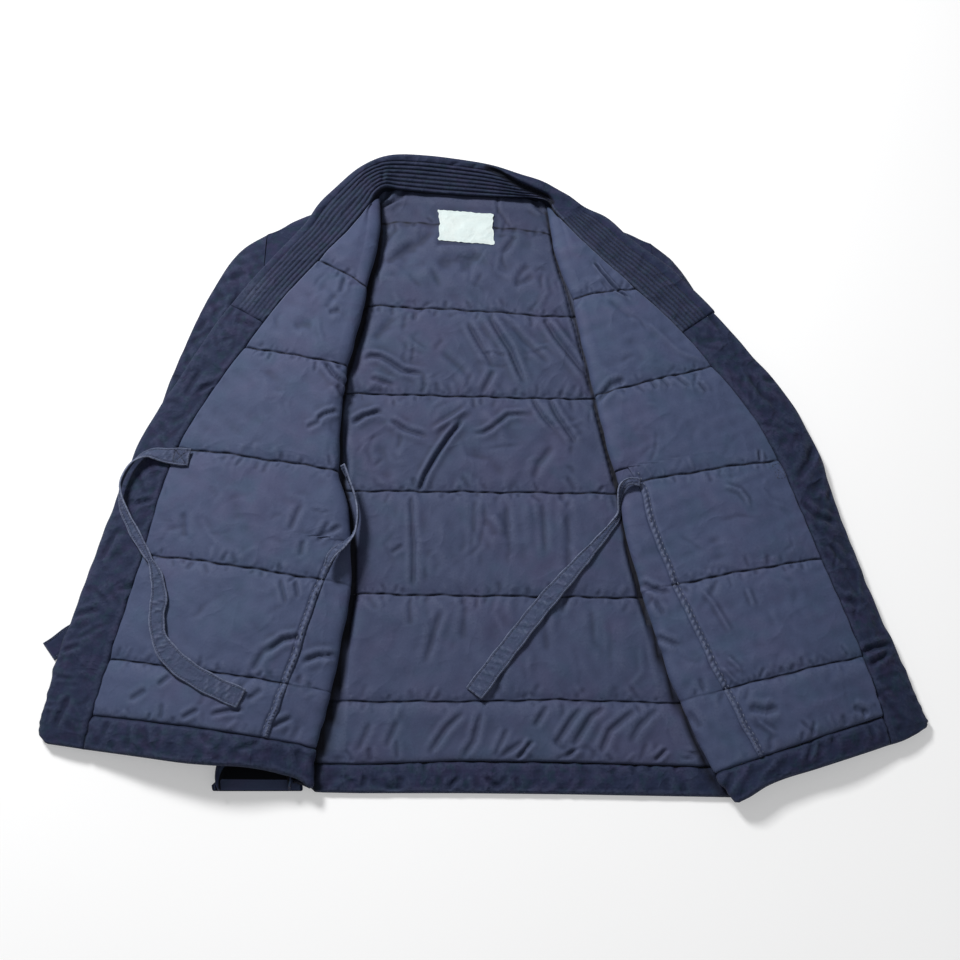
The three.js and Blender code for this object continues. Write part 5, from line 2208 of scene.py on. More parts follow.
    def anchor_runs(self) -> list[Run]:
        """Threads of the crossed box that holds a tie on the other face, beside the band.

        Returns:
            The threads, as points with the outward directions there.
        """
        if not self.anchor_level:
            return []
        low, high = self.anchor_level, self.anchor_level + 0.14
        corners = [(low, 1.8), (low + 0.01, 10.5), (high + 0.01, 11.5), (high, 1.8)]
        runs = []
        for i, j in ((0, 1), (1, 2), (2, 3), (3, 0), (0, 2), (1, 3)):
            level, away = np.linspace(corners[i], corners[j], 12).T
            runs.append(self._thread(level, self.end_q(level) - away, 0.15))
        return runs

    def _thread(self, level: Array, q: Array, proud: float = THREAD_PROUD) -> Run:
        """A line on the lining's face, just proud of it, with the outward direction there."""
        plain = self.place(level, q, 0.0)
        lift = self.lining_lift(level, q, plain[..., 0], plain[..., 1])
        face = self.place(level, q, -lift)
        return self.place(level, q, -lift - proud), unit(self.place(level, q, -lift - 1.0) - face)


# ---- Collar ----


COLLAR_FOLD = ((362, 33), (378, 27), (392, 19), (408, 12), (428, 6), (452, 2))
COLLAR_CREASES = placed({
    (0.2, 0.1): [
        (2.6, 2.6, *sum(COLLAR_FOLD, ())),
    ],
    (0.1, 0.25): [
        (-1.3, 3.4, 374, 34, 392, 26, 410, 18, 430, 12, 452, 8),
    ],
    (0.3, 0.25): [
        (0.9, 1.8, 318, 33, 330, 37), (0.9, 2.0, 344, 30, 350, 37),
    ],
    (0.4, 0.25): [
        (1.0, 2.2, 236, 4, 240, 20, 232, 34), (0.8, 2.4, 216, 8, 212, 30),
        (0.8, 2.6, 120, 34, 150, 40, 176, 38), (0.7, 2.6, 520, 34, 560, 40, 600, 38),
    ],
})


COLLAR_FLARE = (
    (160, 25, 5.5), (200, 45, 3.0), (398, 24, -2.5), (442, 36, -5.0), (598, 30, 4.5), (655, 38, 3.0),
)
COLLAR_MARKS = (0, 70, 240, 400, 480, 700)
COLLAR_WORN = (0.35, 0.8, 1.0, 1.0, 0.9, 0.8)
# Strength of the painted shade in the grooves between the ribs, along the run.
COLLAR_GROOVE_SHADE = (0.3, 0.7, 1.0, 1.0, 1.1, 0.9)
COLLAR_PALED = (0.5, 0.5, 0.5, 0.55, 1.0, 1.0)
STAND_RUNS = (205, 466)


@dataclass
class Collar:
    """The collar: stitched in close rows, from one front round the neck to the other."""

    right: TurnedSide
    left: TurnedSide
    rows_of_stitching: int = 7
    row_height: float = 1.5
    inner: Array = field(init=False)
    outer: Array = field(init=False)
    run: Array = field(init=False)
    width: Array = field(init=False)
    normal: Array = field(init=False)
    face: Array = field(init=False)

    def __post_init__(self) -> None:
        """Works out the collar's inner and outer lines, as points at equal steps along it."""
        lines = []
        for part, neck in ((0.0, NECK.rows[:, 1:4]), (0.99, NECK.rows[:, 4:7])):
            up, down = (
                side.band_place(np.linspace(*levels, 6), np.full(6, part), 0.0)
                for side, levels in (
                    (self.right, (self.right.collar_end, 0.4)), (self.left, (0.4, self.left.collar_end)),
                )
            )
            lines.append(np.concatenate([up, neck, down]))
        runs = runs_along(0.5 * sum(lines))
        at = np.linspace(0, runs[-1], 340)
        self.inner, outer = (
            stacked(*(smooth_curve(runs, column, at) for column in line.T)) for line in lines
        )
        flare = sum(height * bell(at - middle, width) for middle, width, height in COLLAR_FLARE)
        self.outer = outer + unit(outer - self.inner) * flare[:, None]
        middle, across = 0.5 * (self.inner + self.outer), self.outer - self.inner
        self.run = runs_along(middle)
        self.width = np.linalg.norm(across, axis=-1)
        normal = unit(np.cross(across, np.gradient(middle, axis=0)))
        self.normal = normal * np.sign(normal[:, 2:3])

    def build(self) -> Wall:
        """Makes the collar.

        The face is straight from the inner to the outer line, moved out along its normal by
        half-sine ribs between the rows of stitching.

        Returns:
            The wall.
        """
        part = np.linspace(0, 1, 55)
        plain = self.inner[:, None] + (self.outer - self.inner)[:, None] * part[None, :, None]
        down, across = np.broadcast_arrays(self.run[:, None], part * self.width[:, None])
        stitched = part / self.ribbed(self.run)[:, None]
        covered = np.maximum(self.folded_over(down, across), smoothstep(0.99, 1.03, stitched))
        ribs = np.abs(np.sin(math.pi * self.rows_of_stitching * np.clip(stitched, 0, 1)))
        ribs = ribs**0.8 * (1 - covered) + 0.7 * covered
        worn, groove_shade, paled = (
            np.interp(self.run, COLLAR_MARKS, values)[:, None]
            for values in (COLLAR_WORN, COLLAR_GROOVE_SHADE, COLLAR_PALED)
        )
        lift = self.row_height * (0.6 + worn * (ribs - 0.6))
        lift += Swell(91, 0.3, 14, 46).at(plain[..., 0], plain[..., 1])
        lift += Relief(COLLAR_CREASES).at(down, across)
        total = self.run[-1]
        to_outer, to_end = (1 - part) * self.width[:, None], np.minimum(down, total - down)
        lift *= smoothstep(0, 4, to_outer) * smoothstep(0, 2, to_end)
        end_round = np.interp(down, (0, total), (0.3, 0.8))
        lift -= round_over(to_outer, EDGE_ROUND) + round_over(across, 2.0)
        lift -= round_over(to_end, end_round)
        self.face = plain + self.normal[:, None] * lift[..., None]
        depth = CLOTH_THICK - round_over(to_outer, UNDER_ROUND)
        far = plain - self.normal[:, None] * depth[..., None]
        # Painted highlights on the rib crests; the inner edge, a scuff and the folded-over part are worn
        # paler.
        wear = 0.3 * ribs * (1 - covered) + paled * bell(across, 1.7)
        wear += 0.5 * bell(down - 26, 20) * bell(across - 34, 9)
        wear += 0.25 * covered * smoothstep(0, 4, to_outer) * smoothstep(9, 4, to_outer)
        # Painted shade in the grooves between the ribs and along the collar's fold.
        away, _ = nearest(np.array(COLLAR_FOLD), down, across)
        shade = (1 - ribs) ** 1.5 * 0.95 * groove_shade * (1 - covered) + smoothstep(5.0, 1.8, away)
        flat = stacked(across, down)
        return Wall("collar_stitched", self.face, far, plain, wear=wear, shade=shade, flat=flat)

    def stand(self) -> Wall:
        """The collar's stand: a strip of outer cloth from its inner edge down to the back's neck.

        It is ruled straight down from under the collar's inner edge to the lining, and closes the neck's
        corners, where the collar climbs over the folded fronts. Its whole face is painted with shade, for the
        dark gap under the collar.

        Returns:
            The wall.
        """
        shown = (self.run > STAND_RUNS[0]) & (self.run < STAND_RUNS[1])
        run, top = self.run[shown][:, None], self.inner[shown]
        across = (self.outer - self.inner)[shown]
        out = unit(across * (1, 1, 0))
        inset = 3.0
        slope = across[:, 2:3] / np.linalg.norm(across[:, :2], axis=1)[:, None]
        down = np.linspace(0, 1, 9)[None]
        z = (top[:, 2:3] + inset * slope - 1.4) * (1 - down) + 3.4 * down
        wave = 0.5 * np.sin(run / 5.1) * np.sin(math.pi * down)
        near, far = (
            on_plan(top[:, None, :2] + out[:, None, :2] * (away + wave)[..., None], z)
            for away in (inset, inset + SHELL_THICK)
        )
        # Painted shade all over the stand.
        shade = np.full_like(z, 0.7)
        return Wall("collar_stand_painted_shade", near, far, near, shade=shade, flat=stacked(run, z))

    @staticmethod
    def ribbed(run: Array) -> Array:
        """Share of the width that is stitched, which is least on the left front."""
        return np.interp(run, (0, 240, 400, 480, 700), (0.78, 0.80, 0.80, 0.72, 0.72))

    @staticmethod
    def folded_over(down: Array, across: Array) -> Array:
        """Where the collar's plain upper part falls over the stitched rows: 1 there, 0 elsewhere.

        Args:
            down: Distances along the collar.
            across: Distances from its inner edge.

        Returns:
            Shares.
        """
        fold = between(COLLAR_FOLD, down)
        within = smoothstep(366, 380, down) * smoothstep(492, 462, down)
        return within * smoothstep(fold, fold + 2.5, across)

    def stitch_runs(self) -> list[Run]:
        """Threads of the collar's rows, in the grooves between the ribs.

        Returns:
            The threads, as points with the outward directions there.
        """
        runs = []
        last = self.face.shape[1] - 1
        index = np.arange(len(self.run))
        for row in range(1, self.rows_of_stitching + 1):
            share = row / self.rows_of_stitching * self.ribbed(self.run)
            low = np.minimum((share * last).astype(int), last - 1)
            part = (share * last - low)[:, None]
            line = self.face[index, low] * (1 - part) + self.face[index, low + 1] * part
            line += self.normal * 0.1
            shown = self.folded_over(self.run, share * self.width) < 0.4
            shown[:3] = shown[-3:] = False
            for stretch in np.split(index, np.flatnonzero(np.diff(shown)) + 1):
                if shown[stretch[0]] and len(stretch) > 4:
                    runs.append((line[stretch], self.normal[stretch]))
        return runs


# ---- Sleeves ----


CUFF_LEAN = ((0, 0), (9, 2), (25, 12), (45, 10), (80, 0))
CUFF_RIM = 1.2
FACING_SINE = {"outer": -0.63, "inner": -0.2}
# Material slots of a sleeve: outer cloth, near-black painted shade inside, and the facing's lining.
CLOTH_NUMBER = {"shell": 0, "inside": 1, "facing": 2}


@dataclass
class Sleeve:
    """A sleeve: a flattened tube from the armhole to the cuff, under the turned-out front."""

    word: str
    rows: Table
    creases: list[Crease]
    seed: int
    wall: float = 2.5
    squareness: float = 0.62
    steps_along: int = 190
    steps_round: int = 72
    cuff_facing: float = 11.0
    drawn_back: float = 0.0
    head: float = 4.0
    heading: float = 70.0
    cuff_shift: float = 0.0
    cuff_lean: float = 0.0
    angle: Array = field(init=False)
    to_cuff: Array = field(init=False)
    plain: Array = field(init=False)

    def build(self) -> bpy.types.Object:
        """Makes the sleeve's closed wall.

        Each ring is a superellipse between the outer and inner edges of its row, and the far
        face is the same ring set in by the wall's thickness, which thins to a rounded lip.

        Returns:
            The new object.
        """
        last = len(self.rows.rows) - 1
        at = np.linspace(0, last, self.steps_along)
        at = np.concatenate([at[:-1], last - np.array([0.02, 0.012, 0.006, 0.002, 0.0])])
        turn = np.linspace(0, 2 * math.pi, self.steps_round, endpoint=False)
        self.angle = turn - 0.6 * np.sin(turn - 0.9)
        at_grid, angle = np.meshgrid(at, self.angle, indexing="ij")
        sine, cosine = np.sin(angle), np.cos(angle)
        outer_side, upper = np.clip(cosine, 0, 1), np.clip(sine, 0, 1)
        lower = smoothstep(-0.3, -0.8, sine)
        outer_x, outer_y, inner_x, inner_y, top = self.rows.curves(
            "outerX outerY innerX innerY top", at_grid
        )
        outer, inner = stacked(outer_x, outer_y), stacked(inner_x, inner_y)
        half = 0.5 * np.linalg.norm(outer - inner, axis=-1)
        way, middle = unit(outer - inner), 0.5 * (outer + inner)
        run = runs_along(middle[:, 0])
        self.to_cuff = run[-1] - run
        to_cuff = self.to_cuff[:, None]
        lip = round_over(to_cuff, 2.2)
        square = self.squareness - 0.3 * self.cuff_lean * smoothstep(40, 5, to_cuff)
        sideways, upwards = (np.sign(way_round) * np.abs(way_round) ** square for way_round in (cosine, sine))
        low, high = middle.min((0, 1)) - 40, middle.max((0, 1)) + 40
        strewn = Strewn(
            self.seed + 2, 110, tuple(low), tuple(high), depth=0.9, width=2.8, length=38,
            heading=self.heading, spread=35,
        ).creases()
        swells = [Swell(self.seed, 0.6, 22, 70), Swell(self.seed + 1, 0.35, 9, 24)]
        relief = Relief(self.creases + strewn, swells)

        def ring(inset: Array, lifted: bool, lean: float) -> Array:
            """Points of the rings, set in by that much and leaning in at the cuff.

            Args:
                inset: How far in from the outer face.
                lifted: Whether the relief is added.
                lean: Share of the lean at the cuff.

            Returns:
                Points, rings by points round a ring.
            """
            puffed = self.head * bell(run[:, None] - 12, 20) * outer_side**0.5
            plan = middle + way * ((half - inset) * sideways + puffed)[..., None]
            plan[..., 0] += self.cuff_shift * smoothstep(50, 0, to_cuff)
            leant = between(CUFF_LEAN, to_cuff) - 15.0 * lower * smoothstep(11, 6, to_cuff)
            spur = 22.0 * lower * smoothstep(17, 9, to_cuff)
            pinched = leant * outer_side - spur * np.clip(cosine, -1, 0)
            plan -= way * (lean * pinched)[..., None]
            raised = upper * (1 - smoothstep(0, 60, to_cuff))
            plan += stacked(0.15 * (1 - cosine) * raised, raised) * self.drawn_back
            z = 0.5 * top + (0.5 * top - inset) * upwards
            if lifted:
                z += relief.at(plan[..., 0], plan[..., 1]) * upper**0.5 * smoothstep(0, 6, to_cuff)
            return on_plan(plan, z)

        near = ring(lip, True, self.cuff_lean)
        far = ring(self.wall - 0.4 * lip, False, self.cuff_lean)
        self.plain = ring(0 * lip, False, 0.0)
        lift = relief.at(near[..., 0], near[..., 1]) * upper**0.5
        return tube_object(f"sleeve_{self.word}_tube", near, far, run, lift)

    def cut(self) -> Cut:
        """The flat cut all round the tube: its plain ring closed and laid out."""
        return Cut.developed(np.concatenate([self.plain, self.plain[:, :1]], axis=1))

    def face_the_cuff(self, piece: bpy.types.Object) -> None:
        """Gives the cuff's facing its own cloth, and the tube's ends the outer cloth; the rest of the inner
        face keeps the near-black cloth of painted shade.

        Args:
            piece: The sleeve's object, whose faces come in the order of tube_object.
        """
        number = np.empty(len(piece.data.polygons), dtype=np.int32)
        piece.data.polygons.foreach_get("material_index", number)
        rows, columns = len(self.to_cuff) - 1, self.steps_round
        side = rows * columns
        inner_face = number[side : 2 * side].reshape(rows, columns)
        to_cuff = self.to_cuff[:-1]
        limit = np.where(np.cos(self.angle) > 0, FACING_SINE["outer"], FACING_SINE["inner"])
        below = np.sin(self.angle) < limit
        inner_face[np.outer(to_cuff < self.cuff_facing, below)] = CLOTH_NUMBER["facing"]
        inner_face[to_cuff < CUFF_RIM] = CLOTH_NUMBER["shell"]
        number[2 * side :] = CLOTH_NUMBER["shell"]
        piece.data.polygons.foreach_set("material_index", number)


def tube_object(name: str, near: Array, far: Array, run: Array, lift: Array) -> bpy.types.Object:
    """Closed wall of a tube that is open at both ends.

    Args:
        name: Name of the object.
        near: Outer face, rings by points round a ring.
        far: Inner face, on the same grid.
        run: Place of each ring along the tube.
        lift: Height of the outer face's relief, from which its paler ridges, partly painted highlight, and
            its painted shade in the troughs are worked out.

    Returns:
        The new object. Faces come in order: outer, inner, then the rings that close the ends.
    """
    rows, columns = near.shape[:2]
    size = rows * columns
    grid = np.arange(size).reshape(rows, columns)
    after = np.roll(grid, -1, axis=1)
    outer = stacked(grid[:-1], after[:-1], after[1:], grid[1:]).reshape(-1, 4)
    first = stacked(after[0], grid[0], grid[0] + size, after[0] + size)
    end = stacked(grid[-1], after[-1], after[-1] + size, grid[-1] + size)
    faces = [outer, outer[:, ::-1] + size, first, end]
    points = np.concatenate([near.reshape(-1, 3), far.reshape(-1, 3)])
    cut = stacked(np.arange(columns) * TUBE_COLUMN, run[:, None]).reshape(-1, 2)
    attributes = {"wear": np.tile(ridge_wear_and_highlight(lift).ravel(), 2), "shade": np.tile(trough_painted_shade(lift).ravel(), 2)}
    return solid_object(name, points, faces, np.tile(cut, (2, 1)), attributes, len(outer))


RIGHT_SLEEVE_CREASES = placed({
    (0.5, 0.25): [
        (2.6, 4.0, -268, 226, -271, 206, -277, 186, -273, 172, -284, 154),
    ],
    (0.4, 0.25): [
        (1.6, 5.0, -262, 250, -282, 236), (1.6, 5.0, -300, 190, -318, 150),
        (1.4, 4.0, -322, 110, -334, 70),
    ],
    (0.3, 0.25): [
        (1.2, 6.0, -288, 224, -300, 200),
    ],
})

LEFT_SLEEVE_CREASES = placed({
    (0.4, 0.25): [
        (1.8, 4.5, 202, 270, 212, 246, 228, 222), (1.4, 5.0, 226, 236, 244, 200),
    ],
    (0.3, 0.25): [
        (1.2, 6.0, 262, 150, 276, 112),
    ],
})


FRONT_GATHERED = (
    (0.0, 1.0), (0.06, 0.9), (0.12, 0.6), (0.2, 0.5), (0.42, 0.52), (0.49, 0.3), (0.54, 0.6),
    (0.62, 0.85), (0.7, 0.72), (0.78, 1.0), (1.0, 1.0),
)
RIGHT_SIDE_GATHERED = ((0.0, 0.4), (0.2, 0.75), (0.8, 0.75), (1.0, 0.35))
EVEN_WIDTH = ((0.0, 1.0), (1.0, 1.0))
LEFT_SIDE_GATHERED = (
    (0.0, 0.42), (0.08, 0.45), (0.17, 0.32), (0.3, 0.52), (0.42, 0.76), (0.55, 0.92), (1.0, 1.0),
)

# ---- Ties ----


TIE_SEAM = 2.4


@dataclass
class Tie:
    """A flat cloth tie: edge-stitched on both sides, crinkled between, square at its ends."""

    name: str
    route: Table
    width: float
    thick: float
    seed: int
    gathered: Path
    end_box: float
    crinkle: float = 0.4

    def frames(self, count: int) -> tuple[Array, Array, Array, Array]:
        """Centres, sideways and outward directions, and runs, at equal steps along the route.

        Args:
            count: How many places.

        Returns:
            Centres, sideways directions, outward directions and distances along the tie.
        """
        last = len(self.route.rows) - 1
        fine = np.linspace(0, last, 60 * last)
        runs = runs_along(stacked(*self.route.curves("x y z", fine)))
        at = np.linspace(0, runs[-1], count)
        x, y, z, turn = self.route.curves("x y z turn", np.interp(at, runs, fine))
        centre = stacked(x, y, z)
        along = unit(np.gradient(centre, axis=0))
        flat = unit(np.cross(np.array([0.0, 0.0, 1.0]), along))
        angle = np.radians(turn)[:, None]
        across = flat * np.cos(angle) + np.cross(along, flat) * np.sin(angle)
        return centre, across, np.cross(along, across), at

    def wide(self, at: Array) -> Array:
        """Width at distances along the tie, where it is gathered or folded, as one column."""
        return between(self.gathered, at / at[-1])[:, None] * self.width

    def build(self) -> Wall:
        """Makes the tie: a strip swept along its route, with stitched and crinkled faces.

        Returns:
            The wall.
        """
        length = self.frames(10)[3][-1]
        centre, across, out, at = self.frames(int(length))
        part = np.linspace(-0.5, 0.5, 25)
        width, run = self.wide(at), at[:, None]
        half, side = 0.5 * width, np.abs(part) * width
        random = np.random.default_rng(self.seed)
        phase = np.cumsum(random.normal(0, 0.35, len(at)))[:, None] * 0.35
        slant = part * width / 4
        wrinkle = np.sin(2 * math.pi * run / 9.3 + 3 * phase + slant)
        wrinkle += 0.6 * np.sin(2 * math.pi * run / 5.7 - 4 * phase - 2 * slant)
        wrinkle *= 0.5 + 0.5 * np.sin(2 * math.pi * run / 37 + 5 * phase)
        middle = smoothstep(half - 1.5, half - 4.5, side)
        to_side, to_end = half - side, np.minimum(at, at[-1] - at)[:, None]
        box = self.boxed(run, side, half - TIE_SEAM)
        lift = self.crinkle * (wrinkle * middle + 0.6) + 0.35 * bell(to_side - 0.9, 0.8)
        lift -= 0.5 * bell(to_side - TIE_SEAM, 0.7) + 0.4 * bell(to_end - TIE_SEAM, 0.7) + 0.6 * box
        edge = np.minimum(to_side, to_end)
        lift = lift * smoothstep(0, 1.2, edge) - round_over(edge, 0.7)
        wobble = 0.35 * np.sin(run / 4.3 + self.seed) * np.sign(part) * (np.abs(part) * 2) ** 3
        plan = centre[:, None] + across[:, None] * (part * width + wobble)[..., None]
        thick = 0.5 * self.thick
        near = plan + out[:, None] * (thick + lift)[..., None]
        far = plan - out[:, None] * (thick - round_over(edge, 0.7))[..., None]
        # Pale worn edges, and painted highlights on the crinkles' crests.
        wear = bell(edge, 1.1) + 0.25 * np.clip(wrinkle, 0, 1) * middle
        # Painted shade in the grooves of the edge stitching, in the crinkles' troughs and in the crossed
        # box's grooves.
        shade = 0.35 * bell(to_side - TIE_SEAM, 0.6) + 0.15 * np.clip(-wrinkle, 0, 1) * middle
        shade += 0.75 * box
        flat = stacked(part * width, run)
        return Wall(self.name, near, far, plan, wear=np.clip(wear, 0, 1), shade=shade, flat=flat)

    def boxed(self, run: Array, side: Array, half: Array) -> Array:
        """Grooves of the crossed box at the sewn end.

        Args:
            run: Distances along the tie.
            side: Distances from its middle line.
            half: Distances of the edge stitching from the middle line.

        Returns:
            Shares, from 1 on the diagonals and the closing line to 0 away from them.
        """
        if not self.end_box:
            return np.zeros_like(side)
        part = np.abs(2 * (run - TIE_SEAM) / (self.end_box - TIE_SEAM) - 1)
        cross = bell(side - part * half, 0.8) * (part < 1)
        return np.maximum(cross, bell(run - self.end_box, 0.8) * (side < half))

    def stitch_runs(self) -> list[Run]:
        """Threads along both edges, and the crossed box at the sewn end.

        Returns:
            The threads, as points with the outward directions there.
        """
        centre, across, out, at = self.frames(260)
        line = centre + out * (0.5 * self.thick + 0.25)
        swing = across * (0.5 * self.wide(at) - TIE_SEAM)
        runs = [(line + swing * side, out) for side in (-1.0, 1.0)]
        if self.end_box:
            last = np.interp(self.end_box, at, np.arange(len(at))).astype(int)
            box, spread = slice(3, last), np.linspace(-1, 1, last - 3)[:, None]
            runs += [(line[box] + swing[box] * spread * way, out[box]) for way in (1, -1)]
        return runs


# ---- Floor, lights and camera ----


@dataclass(frozen=True)
class Studio:
    """Plain pale floor, soft studio light and the camera."""

    look_at: tuple[float, float, float] = (0.0, 0.0, 0.0)
    elevation: float = 67.5
    distance: float = 1.156
    lens: float = 41.25
    floor_size: float = 6.0

    def camera(self) -> None:
        """Puts the camera south of the jacket, tilted down at it."""
        data = bpy.data.cameras.new("camera")
        data.lens, data.sensor_width = self.lens, 36.0
        tilt = math.radians(self.elevation)
        back = np.array([0.0, -math.cos(tilt), math.sin(tilt)]) * self.distance
        camera = show("camera", data)
        camera.location = (np.array(self.look_at) + ORIGIN) * MM + back
        camera.rotation_euler = (HALF_PI - tilt, 0.0, 0.0)
        bpy.context.scene.camera = camera

    def floor(self) -> None:
        """Lays the floor: a square whose points are spaced as the squares of equal steps."""
        steps = np.linspace(-1, 1, 21)
        spread = np.sign(steps) * steps**2 * 0.5 * self.floor_size
        x, y = np.meshgrid(spread, spread, indexing="ij")
        grid = np.arange(x.size).reshape(x.shape)
        faces = stacked(grid[:-1, :-1], grid[1:, :-1], grid[1:, 1:], grid[:-1, 1:])
        mesh = bpy.data.meshes.new("floor")
        points = stacked(x, y, 0.0).reshape(-1, 3)
        mesh.from_pydata(points.tolist(), [], faces.reshape(-1, 4).tolist())
        mesh.materials.append(FloorFinish().build())
        show("floor", mesh)

    def lamp(self, name: str, place: tuple[float, float, float], size: float, watts: float) -> None:
        """Hangs a square soft lamp that faces the jacket's middle.

        Args:
            name: Name of the lamp.
            place: Where it hangs, in metres.
            size: Side of its square, in metres.
            watts: Its power.
        """
        data = bpy.data.lights.new(name, "AREA")
        data.size, data.energy = size, watts
        lamp = show(name, data)
        lamp.location = place
        x, y, z = place
        lamp.rotation_euler = (math.atan2(math.hypot(x, y), z), 0.0, math.atan2(x, -y))

    def light(self) -> None:
        """Sets a white surround, a soft lamp above the wearer's right shoulder and a fill."""
        world = bpy.data.worlds.new("surround")
        world.use_nodes = True
        background = world.node_tree.nodes["Background"]
        background.inputs["Color"].default_value = (0.97, 0.98, 1.0, 1.0)
        background.inputs["Strength"].default_value = 0.22
        bpy.context.scene.world = world
        bpy.context.scene.view_settings.view_transform = "Standard"
        self.lamp("key_lamp", (-1.05, 1.33, 1.61), 0.5, 60.0)
        self.lamp("fill_lamp", (0.7, -0.9, 2.2), 1.6, 6.0)

    def build(self) -> None:
        """Makes camera, floor and light."""
        self.camera()
        self.floor()
        self.light()


# ---- The jacket ----


@dataclass
class Jacket:
    """All the cloth pieces of the jacket, dressed and entered in the frame."""

    materials: dict[Finish, bpy.types.Material] = field(init=False)

    def __post_init__(self) -> None:
        """Makes the materials."""
        finishes = (
            LINING_CLOTH, SHELL_CLOTH, TIE_CLOTH, LABEL_CLOTH, PAINTED_SHADE_INSIDE_CLOTH, SHADED_BACK_LINING_CLOTH,
            DARK_THREAD, SHELL_THREAD, PALE_THREAD,
        )
        self.materials = {finish: finish.build() for finish in finishes}

    def enter(
        self, piece: bpy.types.Object, slot: Slot, finishes: Sequence[Finish], *nodes: str
    ) -> None:
        """Dresses a piece, hangs it under the root body, hides the model parts that it stands for and logs
        it.

        Args:
            piece: The finished object.
            slot: Not used.
            finishes: Finishes of the near face and, where given, of the far face and the rim,
                and of a facing.
            *nodes: Model nodes that the piece stands for.
        """
        for finish in finishes if len(finishes) > 1 else (finishes[0], finishes[0]):
            piece.data.materials.append(self.materials[finish])
        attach(piece, "root")
        if nodes:
            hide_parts(*nodes)
        faces, stands = len(piece.data.polygons), ", ".join(nodes) or "detail only"
        LOG.info("%s: %d faces, stands for %s", piece.name, faces, stands)

    def cloth(
        self, wall: Wall, slot: Slot, finishes: Sequence[Finish], held: Held,
        rests_on: Sequence[str], *nodes: str,
    ) -> None:
        """Args:
            wall: The wall.
            slot: Material slot name, passed on to enter.
            finishes: Its cloth, and that of its far face and rim where they differ.
            held: Not used.
            rests_on: Not used.
            *nodes: Model nodes that it stands for.
        """
        piece = wall.build()
        self.enter(piece, slot, finishes, *nodes)
        lay(piece, wall.cut())

    def thread(
        self, name: str, stitching: Stitching, runs: Sequence[Run], slot: Slot, finish: Finish
    ) -> None:
        """Sews stitches along lines and enters them.

        Args:
            name: Name of their object.
            stitching: Their pitch and size.
            runs: Their lines.
            slot: Material slot name, passed on to enter.
            finish: Their thread.
        """
        self.enter(stitching.build(name, runs), slot, [finish])

    def back(self) -> None:
        """Makes the back's pieces."""
        back = Back()
        for wall, slot, finish, below, node in (
            (back.shell(), Slot.SHELL, SHELL_CLOTH, "floor", "back_shell"),
            (back.lining(), Slot.LINING, SHADED_BACK_LINING_CLOTH, "back_outer_cloth", "back_lining"),
            (back.hem(), Slot.SHELL, SHELL_CLOTH, "floor", "hem_back"),
            (back.label(), Slot.LABEL, LABEL_CLOTH, "back_quilted_lining", "label"),
        ):
            self.cloth(wall, slot, [finish], Held.LAID, [below], node)
        runs = back.stitch_runs()
        self.thread("back_quilting_stitches", Stitching(), runs, Slot.LINING, DARK_THREAD)

    def side(self, side: TurnedSide) -> None:
        """Makes the pieces of one side.

        Args:
            side: The side.
        """
        word = side.word
        under = (f"sleeve_{word}_tube", "back_quilted_lining")
        own_shell = [f"front_{word}_outer_cloth"]
        shell, lining = [SHELL_CLOTH], [LINING_CLOTH]
        for wall, slot, finishes, held, below, *nodes in (
            (side.front(False), Slot.SHELL, shell, Held.FOLDED, under, f"front_{word}_shell"),
            (side.front(True), Slot.LINING, lining, Held.FOLDED, own_shell, f"front_{word}_lining"),
            (side.back_side(), Slot.LINING, lining + shell, Held.FOLDED, under[1:], f"back_side_{word}"),
            (side.hem(), Slot.SHELL, shell, Held.FOLDED, under, f"hem_{word}"),
            (side.band(), Slot.SHELL, shell, Held.LAID, under, f"band_{word}"),
            (side.shoulder(), Slot.SHELL, shell, Held.FOLDED, ["back_outer_cloth"]),
        ):
            self.cloth(wall, slot, finishes, held, below, *nodes)
        for name, stitching, runs, finish in (
            (f"front_{word}_quilting_stitches", Stitching(), side.stitch_runs(), DARK_THREAD),
            (f"side_seam_{word}_stitches", SEAM_STITCHING, side.seam_runs(), PALE_THREAD),
        ):
            self.thread(name, stitching, runs, Slot.LINING, finish)

    def collar(self, right: TurnedSide, left: TurnedSide) -> None:
        """Makes the collar and its rows of stitching.

        Args:
            right: The right side, where the collar starts.
            left: The left side, where it ends.
        """
        collar = Collar(right, left)
        under, shell = ["front_right_quilted_lining", "back_quilted_lining"], [SHELL_CLOTH]
        self.cloth(collar.build(), Slot.SHELL, shell, Held.LAID, under, "collar")
        self.cloth(collar.stand(), Slot.SHELL, shell, Held.FOLDED, under[1:])
        runs = collar.stitch_runs()
        self.thread("collar_row_stitches", COLLAR_STITCHING, runs, Slot.SHELL, SHELL_THREAD)

    def sleeves(self) -> None:
        """Makes both sleeves, the right one in place of both of its solids."""
        right = Sleeve(
            "right", RIGHT_SLEEVE, RIGHT_SLEEVE_CREASES, 61, drawn_back=26.0, cuff_shift=4.5,
            cuff_lean=1.0,
        )
        left = Sleeve("left", LEFT_SLEEVE, LEFT_SLEEVE_CREASES, 64, heading=115.0)
        for sleeve, nodes in (
            (right, ["sleeve_right_upper", "sleeve_right_lower"]), (left, ["sleeve_left"]),
        ):
            piece = sleeve.build()
            # The inner face takes the near-black cloth of painted shade.
            self.enter(piece, Slot.SHELL, [SHELL_CLOTH, PAINTED_SHADE_INSIDE_CLOTH, LINING_CLOTH], *nodes)
            sleeve.face_the_cuff(piece)
            lay(piece, sleeve.cut())

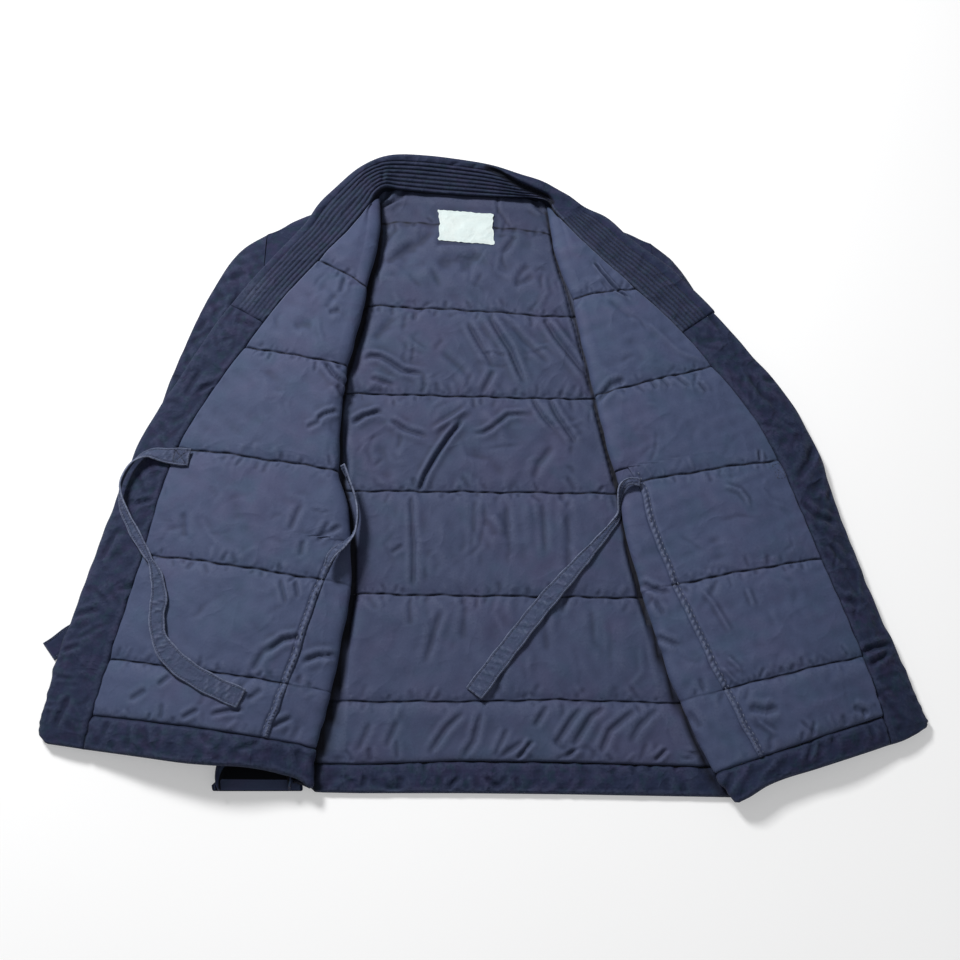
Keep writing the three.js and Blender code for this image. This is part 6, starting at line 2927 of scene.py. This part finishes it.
    def ties(self) -> None:
        """Makes the four ties and their stitching."""
        runs = []
        for word, route, seed, below, box, gathered in (
            ("front_right", FRONT_TIE, 81, "front_right_quilted_lining", 16.0, FRONT_GATHERED),
            ("side_right", RIGHT_SIDE_TIE, 82, "front_right_quilted_lining", 0.0, RIGHT_SIDE_GATHERED),
            ("side_left", LEFT_SIDE_TIE, 83, "back_quilted_lining", 0.0, LEFT_SIDE_GATHERED),
            ("outer_right", OUTER_TIE, 84, "floor", 0.0, EVEN_WIDTH),
        ):
            outside = route is OUTER_TIE
            width, thick = (22, 2.4) if outside else (20, 1.6)
            slot, finish = (Slot.SHELL, SHELL_CLOTH) if outside else (Slot.TIE, TIE_CLOTH)
            tie = Tie(f"tie_{word}_strap", route, width, thick, seed, gathered, box)
            self.cloth(tie.build(), slot, [finish], Held.LAID, [below], f"tie_{word}")
            runs += tie.stitch_runs()
        self.thread("tie_stitches", TIE_STITCHING, runs, Slot.TIE, PALE_THREAD)

    def build(self) -> None:
        """Makes every piece in order."""
        self.back()
        right = TurnedSide(
            "right", RIGHT_PLAN, RIGHT_HEIGHTS, outward=-1.0, seam_level=3.65, collar_end=1.75,
            creases=RIGHT_CREASES, band_creases=RIGHT_BAND_CREASES, seed=100, flare=RIGHT_FLARE,
            strewn_over=((-330, -260), (-140, 260)), hem_rise=RIGHT_HEM_RISE, shoulder_bulge=1.0,
        )
        left = TurnedSide(
            "left", LEFT_PLAN, LEFT_HEIGHTS, outward=1.0, seam_level=2.85, collar_end=1.57,
            creases=LEFT_CREASES, band_creases=LEFT_BAND_CREASES, seed=200, flare=LEFT_FLARE,
            strewn_over=((110, -260), (350, 240)), hem_rise=LEFT_HEM_RISE, anchor_level=3.03,
            corner_rise=6.0,
        )
        self.side(right)
        self.side(left)
        self.collar(right, left)
        self.sleeves()
        self.ties()


def main() -> None:
    """Builds the studio and the jacket."""
    logging.basicConfig(level=logging.INFO, format="%(name)s: %(message)s")
    Studio().build()
    Jacket().build()


if __name__ == "__main__":
    main()
